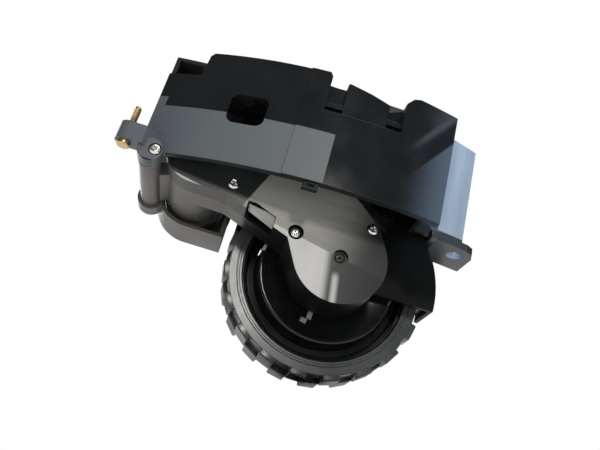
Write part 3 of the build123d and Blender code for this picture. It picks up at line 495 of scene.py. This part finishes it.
# Near black on the axle screw and output shaft: a painted shade of the recess round the axle.
recess_shade_black = finish("recess_shade_black", (0.03, 0.03, 0.03), (0.06, 0.058, 0.055), (0.3, 0.45),
                   0.2, 0.004, metallic=0.8)
bronze = finish("bronze", (0.42, 0.26, 0.12), (0.55, 0.36, 0.19), (0.35, 0.5), 0.2, 0.006,
                metallic=1.0)
ferrite = finish("ferrite", (0.03, 0.03, 0.032), (0.05, 0.05, 0.052), (0.5, 0.65), 0.2, 0.006)
dress(steel, "pivot_pin", "gear_pins", "motor_shaft", "motor_can")
dress(recess_shade_black, "output_shaft")
dress(plated, "housing_screws", "end_cover_screws", "pivot_screw", "cover_screws",
      "motor_screws", "axle_screw")
dress(spring_wire, "suspension_spring", "drop_switch_lever", "shaft_clip")
dress(brass, "mount_screw", "motor_pinion", "connector_contacts", "motor_terminals")
dress(bronze, "front_bush", "back_bush")
dress(ferrite, "encoder_magnet")

# %% [markdown]
# Several pieces of this module repeat or follow a rule: screws, tread blocks, spring turns and a
# screw thread. Each is grown by a small Geometry Nodes tree, built here in code, because then one
# number changes every copy. The trees work in millimetres, as fine cuts are safer on large
# numbers, and scale the result at the end. What a tree makes is kept as a plain mesh.

# %% Helpers for Geometry Nodes
to_metres = (0.001, 0.001, 0.001)


def new_tree(name, inputs):
    """A tree with a geometry input, named inputs of the given kinds, and a geometry output."""
    tree = bpy.data.node_groups.new(name, "GeometryNodeTree")
    tree.interface.new_socket("Geometry", in_out="INPUT", socket_type="NodeSocketGeometry")
    for label, kind in inputs:
        tree.interface.new_socket(label, in_out="INPUT", socket_type="NodeSocket" + kind)
    tree.interface.new_socket("Geometry", in_out="OUTPUT", socket_type="NodeSocketGeometry")
    return tree, tree.nodes.new("NodeGroupInput").outputs, tree.nodes.new("NodeGroupOutput").inputs


def along(tree, x=0.0, y=0.0, z=0.0):
    """A vector of sockets or numbers."""
    return add(tree, "ShaderNodeCombineXYZ", {0: x, 1: y, 2: z}).outputs[0]


def join(tree, *parts):
    """Several geometries as one."""
    whole = add(tree, "GeometryNodeJoinGeometry")
    for part in parts:
        tree.links.new(part, whole.inputs[0])
    return whole.outputs[0]


def close_tree(tree, given, out, geometry, degrees=35):
    """Realize instances, smooth all but the sharp edges, set the material and end the tree."""
    real = add(tree, "GeometryNodeRealizeInstances", {0: geometry})
    angle = add(tree, "GeometryNodeInputMeshEdgeAngle").outputs[0]
    sharp = calc(tree, "GREATER_THAN", angle, math.radians(degrees))
    smooth = add(tree, "GeometryNodeSetShadeSmooth", {"Geometry": real.outputs[0]})
    creased = add(tree, "GeometryNodeSetShadeSmooth",
                  {"Geometry": smooth.outputs[0], "Selection": sharp, "Shade Smooth": False},
                  domain="EDGE")
    skin = add(tree, "GeometryNodeSetMaterial",
               {"Geometry": creased.outputs[0], "Material": given["Material"]})
    tree.links.new(skin.outputs[0], out[0])
    print(f"{tree.name} tree: {len(tree.nodes)} nodes")


def evaluated_mesh(piece):
    """The plain mesh that a piece's modifiers make of it."""
    graph = bpy.context.evaluated_depsgraph_get()
    return bpy.data.meshes.new_from_object(piece.evaluated_get(graph), depsgraph=graph)


def grown(name, tree, values, points=()):
    """Run a tree on a few points, and keep what it makes as the plain mesh of a new piece."""
    mesh = bpy.data.meshes.new(name)
    mesh.from_pydata([tuple(p) for p in points], [], [])
    piece = placed(name, mesh)
    modifier = piece.modifiers.new("tree", "NODES")
    modifier.node_group = tree
    for item in tree.interface.items_tree:
        if item.in_out == "INPUT" and item.name in values:
            modifier[item.identifier] = values[item.name]
    result = evaluated_mesh(piece)
    piece.modifiers.remove(modifier)
    piece.data = result
    print(f"{name}: {len(result.polygons)} faces")
    return piece


print("growing helpers: new_tree, along, join, close_tree, evaluated_mesh, grown")

# %% [markdown]
# A pan-head screw is a low dome with a cross recess on a plain shank, whose thread is out of sight
# in the plastic. It could be lathed, but the same steps suit every size: a cylinder's top face is
# extruded and shrunk three times for the dome, its bottom face becomes the shank, and two crossed
# bars are cut out of the head. The whole screw is set on each of a node's screw places. A random
# turn with a fixed seed keeps the crosses from lining up, as a screwdriver leaves them.

# %% The screw tree
def pulled(tree, mesh, face, rise, scale):
    """Raise the given face by rise and shrink it by scale. Gives the mesh and its new face."""
    raised = add(tree, "GeometryNodeExtrudeMesh",
                 {"Mesh": mesh, "Selection": face, "Offset": along(tree, z=rise),
                  "Offset Scale": 1.0, "Individual": False})
    top = raised.outputs["Top"]
    shrunk = add(tree, "GeometryNodeScaleElements",
                 {"Geometry": raised.outputs["Mesh"], "Selection": top, "Scale": scale})
    return shrunk.outputs[0], top


screw_tree, given, out = new_tree("pan_screw", [
    ("Head radius", "Float"), ("Head height", "Float"), ("Shank radius", "Float"),
    ("Shank length", "Float"), ("Turn", "Vector"), ("Seed", "Int"), ("Material", "Material")])
tree = screw_tree
head_r, head_height, shank_r = given["Head radius"], given["Head height"], given["Shank radius"]
head = add(tree, "GeometryNodeMeshCylinder", {
    "Vertices": 28, "Radius": head_r, "Depth": calc(tree, "MULTIPLY", head_height, 0.4)})
mesh, face = head.outputs["Mesh"], head.outputs["Top"]
# Each step is a share of the head's height, or of the shank's length, and the shrink it ends in.
for share, scale in ((0.28, 0.93), (0.2, 0.80), (0.1, 0.62)):
    mesh, face = pulled(tree, mesh, face, calc(tree, "MULTIPLY", head_height, share), scale)
mesh, face = pulled(tree, mesh, head.outputs["Bottom"], 0.0,
                    calc(tree, "DIVIDE", shank_r, head_r))
for share, scale in ((-0.9, 1.0), (-0.1, 0.5)):
    mesh, face = pulled(tree, mesh, face,
                        calc(tree, "MULTIPLY", given["Shank length"], share), scale)
lift = along(tree, z=calc(tree, "MULTIPLY", head_height, 0.2))
screw = add(tree, "GeometryNodeTransform", {"Geometry": mesh, "Translation": lift})
long_side = calc(tree, "MULTIPLY", head_r, 1.15)
short_side = calc(tree, "MULTIPLY", head_r, 0.30)
deep = calc(tree, "MULTIPLY", head_height, 1.1)
cut = add(tree, "GeometryNodeMeshBoolean", {"Mesh 1": screw.outputs[0]}, operation="DIFFERENCE")
for sides in ((long_side, short_side), (short_side, long_side)):
    cross_bar = add(tree, "GeometryNodeMeshCube", {"Size": along(tree, *sides, deep)})
    at_top = add(tree, "GeometryNodeTransform", {
        "Geometry": cross_bar.outputs[0], "Translation": along(tree, z=head_height)})
    tree.links.new(at_top.outputs[0], cut.inputs["Mesh 2"])
spots = add(tree, "GeometryNodeInstanceOnPoints",
            {"Points": given["Geometry"], "Instance": cut.outputs[0], "Rotation": given["Turn"],
             "Scale": to_metres})
quarter_turn = 1.57
spin = add(tree, "FunctionNodeRandomValue",
           {"Min": 0.0, "Max": quarter_turn, "Seed": given["Seed"]}, data_type="FLOAT")
spin_value = next(o for o in spin.outputs if o.enabled and o.type == "VALUE")
turned_screws = add(tree, "GeometryNodeRotateInstances",
                    {"Instances": spots.outputs[0], "Rotation": along(tree, z=spin_value)})
close_tree(tree, given, out, turned_screws.outputs[0])

# %% [markdown]
# The seats below are the same places, in millimetres from the axle, that the drawing gives. Each
# row holds the body, the turn, the head's and shank's sizes, and the places. The turn brings the
# screw's own upward axis to the side its head faces: out of the skirt for the gearbox cover,
# inwards for the motor's end cover, and up for the housing's flange.

# %% Every screw of the module
first_seed = 3
to_front, to_back, to_top = (math.pi / 2, 0, 0), (-math.pi / 2, 0, 0), (0, 0, 0)
size_names = ("Head radius", "Head height", "Shank radius", "Shank length")
screw_sets = {
    "cover_screws": ("arm", to_front, (1.9, 1.3, 0.85, 12.0), (
        (-40.1, -20.8, 13.5), (-16.2, -19.8, 3.7), (8.5, -20.6, 12.9))),
    "pivot_screw": ("housing", to_front, (1.9, 1.3, 0.7, 1.7), ((-66.9, -26.5, 13.9),)),
    "axle_screw": ("wheel", to_front, (1.8, 0.5, 0.75, 4.8), ((0, -20.2, 0),)),
    "motor_screws": ("arm", to_front, (1.5, 1.3, 0.85, 4.0), (
        (-57.585, -7.0, 25.649), (-55.720, -7.0, 15.074))),
    "end_cover_screws": ("housing", to_back, (1.9, 1.3, 0.85, 5.8), (
        (-69.9, 24.6, 45.8), (-46.8, 24.6, 47.8), (-41.0, 24.6, 30.0))),
    "housing_screws": ("housing", to_top, (1.9, 1.3, 0.85, 5.6), (
        (-44.0, -27.7, 47.7), (-24.0, -28.4, 47.7), (-4.0, -28.6, 47.7), (14.0, -28.4, 47.7))),
}
# The axle screw takes the near-black finish, a painted shade of its recess.
for seed, (node, (body, turn, sizes, places)) in enumerate(screw_sets.items(), first_seed):
    piece = grown(node + "_cross", screw_tree,
                  {**dict(zip(size_names, sizes)), "Turn": turn, "Seed": seed,
                   "Material": recess_shade_black if node == "axle_screw" else plated},
                  [at(*p) for p in places])
    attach(piece, body)
    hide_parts(node)

# %% [markdown]
# The tyre is two things: a turned carcass with its bead and ridge, and blocks that stand on it in
# two staggered rows. A Screw modifier could turn the carcass, but a lathe in mesh code also says
# which edges stay sharp. The sidewall is flat between soft steps, so even a bend of 5 degrees
# counts as sharp there: the flat face then keeps one clean reflection.

# %% The turned carcass and the lathe helper
def kept(shape, name, material):
    """Keep a bmesh as a new piece with one material."""
    mesh = bpy.data.meshes.new(name)
    shape.to_mesh(mesh)
    shape.free()
    mesh.materials.append(material)
    return placed(name, mesh)


def turned(name, profile, steps, material, sharp_degrees=30):
    """Turn a closed profile of (radius, y) pairs, in millimetres, about the wheel's axle."""
    shape = bmesh.new()
    rings = []
    for step in range(steps):
        a = step * math.tau / steps
        rings.append([shape.verts.new(at(r * math.cos(a), y, r * math.sin(a))) for r, y in profile])
    for step in range(steps):
        ring, after = rings[step], rings[(step + 1) % steps]
        for i in range(len(profile)):
            j = (i + 1) % len(profile)
            shape.faces.new((ring[i], ring[j], after[j], after[i]))
    bmesh.ops.recalc_face_normals(shape, faces=shape.faces)
    for face in shape.faces:
        face.smooth = True
    for edge in shape.edges:
        edge.smooth = edge.calc_face_angle() < math.radians(sharp_degrees)
    print(f"{name}: {len(shape.faces)} faces")
    return kept(shape, name, material)


carcass_profile = [
    (29.6, 0.4), (29.7, 0.1), (29.9, 0.0), (30.5, 0.0), (30.62, 0.12), (30.74, 0.0), (31.3, 0.0),
    (31.4, 0.22), (31.55, 0.22), (31.65, 0.0), (34.1, 0.0), (34.26, 0.06), (34.3, 0.2), (34.3, 8.0),
    (34.1, 8.2), (34.1, 8.8), (34.3, 9.0), (34.3, 16.8), (34.1, 17.0), (30.0, 17.0), (29.6, 16.7)]
carcass = turned("tyre_carcass", carcass_profile, 192, rubber, sharp_degrees=5)
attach(carcass, "wheel")
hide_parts("tyre")

# %% [markdown]
# One block of the tread is a rounded rectangle, filled, pulled up and chamfered by a second,
# smaller pull. It is set round a circle once for each block of a row, facing outwards, and the
# circle's axis is then laid along the axle. An array of objects would do the same, but the tree
# leaves one mesh, and its inputs serve both rows.

# %% The tread tree
tread_tree, given, out = new_tree("tread_row", [
    ("Blocks", "Int"), ("Base radius", "Float"), ("Rise", "Float"), ("Length", "Float"),
    ("Width", "Float"), ("Row middle", "Float"), ("First angle", "Float"), ("Centre", "Vector"),
    ("Material", "Material")])
tree = tread_tree
foot = add(tree, "GeometryNodeCurvePrimitiveQuadrilateral",
           {"Width": given["Length"], "Height": given["Width"]})
rounded = add(tree, "GeometryNodeFilletCurve",
              {"Curve": foot.outputs[0], "Radius": 0.4, "Count": 3}, mode="POLY")
filled = add(tree, "GeometryNodeFillCurve", {"Curve": rounded.outputs[0]}, mode="NGONS").outputs[0]
block = add(tree, "GeometryNodeExtrudeMesh",
            {"Mesh": filled, "Offset": along(tree, z=calc(tree, "MULTIPLY", given["Rise"], 0.88)),
             "Offset Scale": 1.0, "Individual": False})
mesh, face = pulled(tree, block.outputs["Mesh"], block.outputs["Top"],
                    calc(tree, "MULTIPLY", given["Rise"], 0.12), 0.93)
under = add(tree, "GeometryNodeFlipFaces", {"Mesh": filled}).outputs[0]
welded = add(tree, "GeometryNodeMergeByDistance",
             {"Geometry": join(tree, mesh, under), "Distance": 0.01})
circle = add(tree, "GeometryNodeMeshCircle",
             {"Vertices": given["Blocks"], "Radius": given["Base radius"]}, fill_type="NONE")
spread = add(tree, "GeometryNodeTransform",
             {"Geometry": circle.outputs[0], "Translation": along(tree, z=given["Row middle"]),
              "Rotation": along(tree, z=given["First angle"])})
spot = add(tree, "ShaderNodeSeparateXYZ", {0: add(tree, "GeometryNodeInputPosition").outputs[0]})
heading = calc(tree, "ARCTAN2", spot.outputs[1], spot.outputs[0])
facing = along(tree, x=math.pi / 2, z=calc(tree, "ADD", heading, math.pi / 2))
row = add(tree, "GeometryNodeInstanceOnPoints",
          {"Points": spread.outputs[0], "Instance": welded.outputs[0], "Rotation": facing})
laid = add(tree, "GeometryNodeTransform", {
    "Geometry": row.outputs[0], "Rotation": (-math.pi / 2, 0, 0), "Scale": to_metres})
moved = add(tree, "GeometryNodeTransform",
            {"Geometry": laid.outputs[0], "Translation": given["Centre"]})
close_tree(tree, given, out, moved.outputs[0])

# %% [markdown]
# Both rows have the same number of blocks, and the outer row is turned by half a step, so each of
# its blocks stands beside a gap of the inner row. The outer blocks are flush with the sidewall and
# reach the full radius. The inner ones are 0.4 mm lower. The angle of the first gap sets where
# round the axle both rows stand.

# %% The two rows of blocks
blocks = 19
tread_r, base_r, notch_length = 36.0, 32.4, 5.9
block_length = math.tau * tread_r / blocks - notch_length
half_step = math.tau / blocks / 2
first_gap = math.radians(-25.9)
for name, middle, first, width, rise in (("outer", 4.42, first_gap + half_step, 8.76, 3.6),
                                         ("inner", 12.5, first_gap, 9.0, 3.2)):
    row = grown(f"tread_{name}_row", tread_tree,
                {"Blocks": blocks, "Base radius": base_r, "Rise": rise, "Length": block_length,
                 "Width": width, "Row middle": middle, "First angle": -first,
                 "Centre": tuple(axle), "Material": rubber})
    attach(row, "wheel")
    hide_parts("tyre")

# %% [markdown]
# The rim is a deep turned moulding. Its disc is slightly dished towards the hub, with a narrow flat
# lip at its edge that shows as a bright arc, and two small windows open through the disc's edge.
# It is turned like the carcass, and the windows are cut by a Boolean modifier, whose result is
# kept, so that the piece is a plain mesh.

# %% The rim
rim_profile = [
    (2.52, -3.2), (6.3, -3.2), (6.5, -3.0), (6.9, -1.7), (7.6, -1.25), (13.0, -1.7), (13.2, -1.9),
    (23.2, -2.62), (23.35, -2.72), (23.95, -2.72), (24.2, -2.6), (24.6, -1.6), (24.95, 3.6),
    (25.3, 4.2), (27.2, 4.4), (27.7, 4.0), (28.3, 1.3), (28.5, 1.1), (29.3, 0.9), (29.58, 1.0),
    (29.58, 17.0), (28.1, 17.0), (28.1, 5.5), (23.4, 5.5), (23.0, -0.8), (7.6, 0.5), (6.5, 0.7),
    (6.5, 16.0), (2.52, 16.0)]
window_r, window_size, window_turns = 24.4, (1.8, 9, 2.8), (-188, -8)
rim = turned("rim_turned", rim_profile, 160, rim_black)


def bar(name, centre, size, turn, material):
    """A block in millimetres, turned about the axle's direction by an angle in degrees."""
    shape = bmesh.new()
    bmesh.ops.create_cube(shape, size=1.0)
    bmesh.ops.scale(shape, vec=Vector(size) / 1000, verts=shape.verts)
    bmesh.ops.rotate(shape, matrix=Matrix.Rotation(math.radians(-turn), 3, "Y"), verts=shape.verts)
    bmesh.ops.translate(shape, vec=at(*centre), verts=shape.verts)
    return kept(shape, name, material)


for turn in window_turns:
    a = math.radians(turn)
    cutter = bar("window_cutter", (window_r * math.cos(a), 1.0, window_r * math.sin(a)),
                 window_size, turn, rim_black)
    cut = rim.modifiers.new("window", "BOOLEAN")
    cut.operation = "DIFFERENCE"
    cut.object = cutter
    opened = evaluated_mesh(rim)
    rim.modifiers.remove(cut)
    rim.data = opened
    bpy.data.objects.remove(cutter)
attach(rim, "wheel")
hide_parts("wheel_rim")
print("rim faces:", len(rim.data.polygons))

# %% [markdown]
# Three small flat pads stand on the dish under the hub, like the steps of a stair. Their faces
# are square to the axle while the dish slopes, so the two send light different ways, and the pads'
# pale colour is a painted glint. Each is a bar with a live bevel, which rounds its edges finely
# without changing its plain mesh.

# %% The three pads
# The pads' pale colour is a painted glint.
pad_glint = finish("pad_glint", (0.26, 0.255, 0.235), (0.36, 0.355, 0.33), (0.2, 0.3), 0.3, 0.001)
pads = [((-1.2, -2.0, -13.3), (2.4, 1.2, 1.5), -92), ((-2.7, -2.3, -15.8), (2.6, 1.2, 1.7), -96),
        ((-4.4, -2.5, -18.1), (1.5, 1.2, 2.2), -100)]
pad_edge = 0.0001
for number, (centre, size, turn) in enumerate(pads, 1):
    pad = bar(f"disc_pad_{number}", centre, size, turn, pad_glint)
    soften = pad.modifiers.new("soften", "BEVEL")
    soften.width = pad_edge
    soften.segments = 2
    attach(pad, "wheel")
print("pads on the disc:", len(pads))

# %% [markdown]
# The suspension spring is close-wound wire with an eye at each end. A stretched texture would
# look flat from the side, so a wire section is swept along a real spiral. The turns, two eyes and
# the short legs between them are made upright along Z, from the spring's own sizes.

# %% The spring tree
eye_gap, leg_start = 0.9, 0.95
spring_tree, given, out = new_tree("wire_spring", [
    ("Turns", "Float"), ("Coil radius", "Float"), ("Wire radius", "Float"), ("Length", "Float"),
    ("Hook radius", "Float"), ("Material", "Material")])
tree = spring_tree
coil_radius, hook_radius = given["Coil radius"], given["Hook radius"]
coil = add(tree, "GeometryNodeCurveSpiral",
           {"Resolution": 16, "Rotations": given["Turns"], "Start Radius": coil_radius,
            "End Radius": coil_radius, "Height": given["Length"]})
wire_section = add(tree, "GeometryNodeCurvePrimitiveCircle",
                   {"Resolution": 8, "Radius": given["Wire radius"]})


def swept(tree, path, section, caps):
    """A section swept along a path."""
    return add(tree, "GeometryNodeCurveToMesh",
               {"Curve": path.outputs[0], "Profile Curve": section.outputs[0],
                "Fill Caps": caps}).outputs[0]


spring_parts = [swept(tree, coil, wire_section, True)]
for end, sign in ((0.0, -1.0), (given["Length"], 1.0)):
    ring = add(tree, "GeometryNodeCurvePrimitiveCircle",
               {"Resolution": 28, "Radius": hook_radius})
    reach = calc(tree, "MULTIPLY", calc(tree, "ADD", hook_radius, eye_gap), sign)
    eye = add(tree, "GeometryNodeTransform",
              {"Geometry": swept(tree, ring, wire_section, False), "Rotation": (math.pi / 2, 0, 0),
               "Translation": along(tree, z=calc(tree, "ADD", reach, end))})
    leg_foot = along(tree, z=calc(tree, "ADD", calc(tree, "MULTIPLY", sign, leg_start), end))
    leg = add(tree, "GeometryNodeCurvePrimitiveLine",
              {"Start": leg_foot, "End": along(tree, x=coil_radius, z=end)})
    spring_parts += [eye.outputs[0], swept(tree, leg, wire_section, True)]
small = add(tree, "GeometryNodeTransform",
            {"Geometry": join(tree, *spring_parts), "Scale": to_metres})
close_tree(tree, given, out, small.outputs[0], degrees=60)

# %% [markdown]
# The spring crosses the arm's joint: one eye hangs on the housing's post, the other on the horn
# that swings with the arm. The grown spring is turned onto the line between the two eyes. It is
# not attached to a body, and nothing here makes it follow the arm.

# %% The spring in its place
horn_eye, post_eye = at(-53.6, 27.6, 34.8), at(-6.0, 27.6, 46.5)
eye_r, coil_r, wire_r, pitch = 1.85, 2.15, 0.35, 0.78
span = (post_eye - horn_eye).length * 1000
coil_length = span - 2 * (eye_r + eye_gap)
spring = grown("spring_coil", spring_tree,
               {"Turns": round(coil_length / pitch), "Coil radius": coil_r, "Wire radius": wire_r,
                "Length": coil_length, "Hook radius": eye_r, "Material": spring_wire})
way = (post_eye - horn_eye).normalized()
side = way.cross(Vector((0, 1, 0))).normalized()
stand = Matrix((side, way.cross(side), way)).transposed().to_4x4()
stand.translation = horn_eye + way * (eye_r + eye_gap) / 1000
spring.data.transform(stand)
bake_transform(spring)
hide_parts("suspension_spring")
print("spring:", round(span, 1), "mm between its eyes")

# %% [markdown]
# The brass screw at the front lug is the one thread in plain sight, so it gets a real one: a
# V-shaped ridge wound round the core, made by sweeping a square section along a spiral, with half
# of it sunk in the core. A texture would leave the screw's outline smooth. The tip, the neck in
# the lug and the flat head below it are pulled from the core's two end faces.

# %% The thread tree
thread_tree, given, out = new_tree("thread", [
    ("Core radius", "Float"), ("Ridge", "Float"), ("Pitch", "Float"), ("Length", "Float"),
    ("Head radius", "Float"), ("Shank radius", "Float"), ("Shank length", "Float"),
    ("Place", "Vector"), ("Material", "Material")])
tree = thread_tree
core_r, shank_r, length = given["Core radius"], given["Shank radius"], given["Length"]
helix = add(tree, "GeometryNodeCurveSpiral",
            {"Resolution": 24, "Rotations": calc(tree, "DIVIDE", length, given["Pitch"]),
             "Start Radius": core_r, "End Radius": core_r, "Height": length})
tooth = add(tree, "GeometryNodeCurvePrimitiveCircle", {"Resolution": 4, "Radius": given["Ridge"]})
upright = add(tree, "GeometryNodeSetCurveNormal", {"Curve": helix.outputs[0]}, mode="Z_UP")
ridge = swept(tree, upright, tooth, True)
core = add(tree, "GeometryNodeMeshCylinder", {"Vertices": 32, "Radius": core_r, "Depth": length})
mesh, face = core.outputs["Mesh"], core.outputs["Top"]
for rise, scale in ((0.35, 1.0), (0.65, 0.5)):
    mesh, face = pulled(tree, mesh, face, rise, scale)
face = core.outputs["Bottom"]
for rise, scale in ((0.0, calc(tree, "DIVIDE", shank_r, core_r)),
                    (calc(tree, "MULTIPLY", given["Shank length"], -1.0), 1.0),
                    (0.0, calc(tree, "DIVIDE", given["Head radius"], shank_r)),
                    (-1.2, 1.0), (-0.2, 0.88)):
    mesh, face = pulled(tree, mesh, face, rise, scale)
half_up = add(tree, "GeometryNodeTransform", {
    "Geometry": mesh, "Translation": along(tree, z=calc(tree, "MULTIPLY", length, 0.5))})
small = add(tree, "GeometryNodeTransform",
            {"Geometry": join(tree, half_up.outputs[0], ridge), "Scale": to_metres,
             "Translation": given["Place"]})
close_tree(tree, given, out, small.outputs[0])

# %% [markdown]
# The screw is captive: its thin neck turns in the lug, and the thread stands above it, ready to
# enter the robot's chassis. It is grown once, with its sizes in millimetres.

# %% The brass screw
brass_screw = grown("brass_screw", thread_tree,
                    {"Core radius": 0.95, "Ridge": 0.3, "Pitch": 0.78, "Length": 6.4,
                     "Head radius": 2.2, "Shank radius": 0.85, "Shank length": 6.8,
                     "Place": tuple(at(-77.2, -25.5, 20.7)), "Material": brass})
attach(brass_screw, "housing")
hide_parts("mount_screw")

# %% [markdown]
# In the cover's lower notch sits the tongue of a snap clip. Its face leans forward at the bottom,
# so it catches the light, and its pale colour adds a painted highlight. A dark gap is left above it
# and on its right. No box has such a face, so its four corners are given one by one, each with its
# own depth, and its edges are bevelled.

# %% The snap clip
clip_edge = 0.00012


def wedge(name, corners, y_front, y_back, material):
    """A block with a four-cornered face. Corners are (x, z) with the front's y for each."""
    shape = bmesh.new()
    front = [shape.verts.new(at(x, y, z)) for (x, z), y in zip(corners, y_front)]
    back = [shape.verts.new(at(x, y_back, z)) for x, z in corners]
    shape.faces.new(front)
    shape.faces.new(back[::-1])
    for i in range(4):
        j = (i + 1) % 4
        shape.faces.new((front[i], back[i], back[j], front[j]))
    bmesh.ops.recalc_face_normals(shape, faces=shape.faces)
    bmesh.ops.bevel(shape, geom=shape.edges[:], offset=clip_edge, segments=2, affect="EDGES")
    return kept(shape, name, material)


# The clip's pale colour is a painted highlight.
clip_highlight = finish("clip_highlight", (0.30, 0.30, 0.29), (0.42, 0.415, 0.40), (0.30, 0.42), 0.3, 0.002)
clip = wedge("snap_clip", [(-33.2, 7.9), (-33.4, 8.9), (-23.9, 7.6), (-23.7, 3.9)],
             (-21.0, -20.6, -20.6, -21.3), -17.0, clip_highlight)
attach(clip, "arm")
print("snap clip faces:", len(clip.data.polygons))
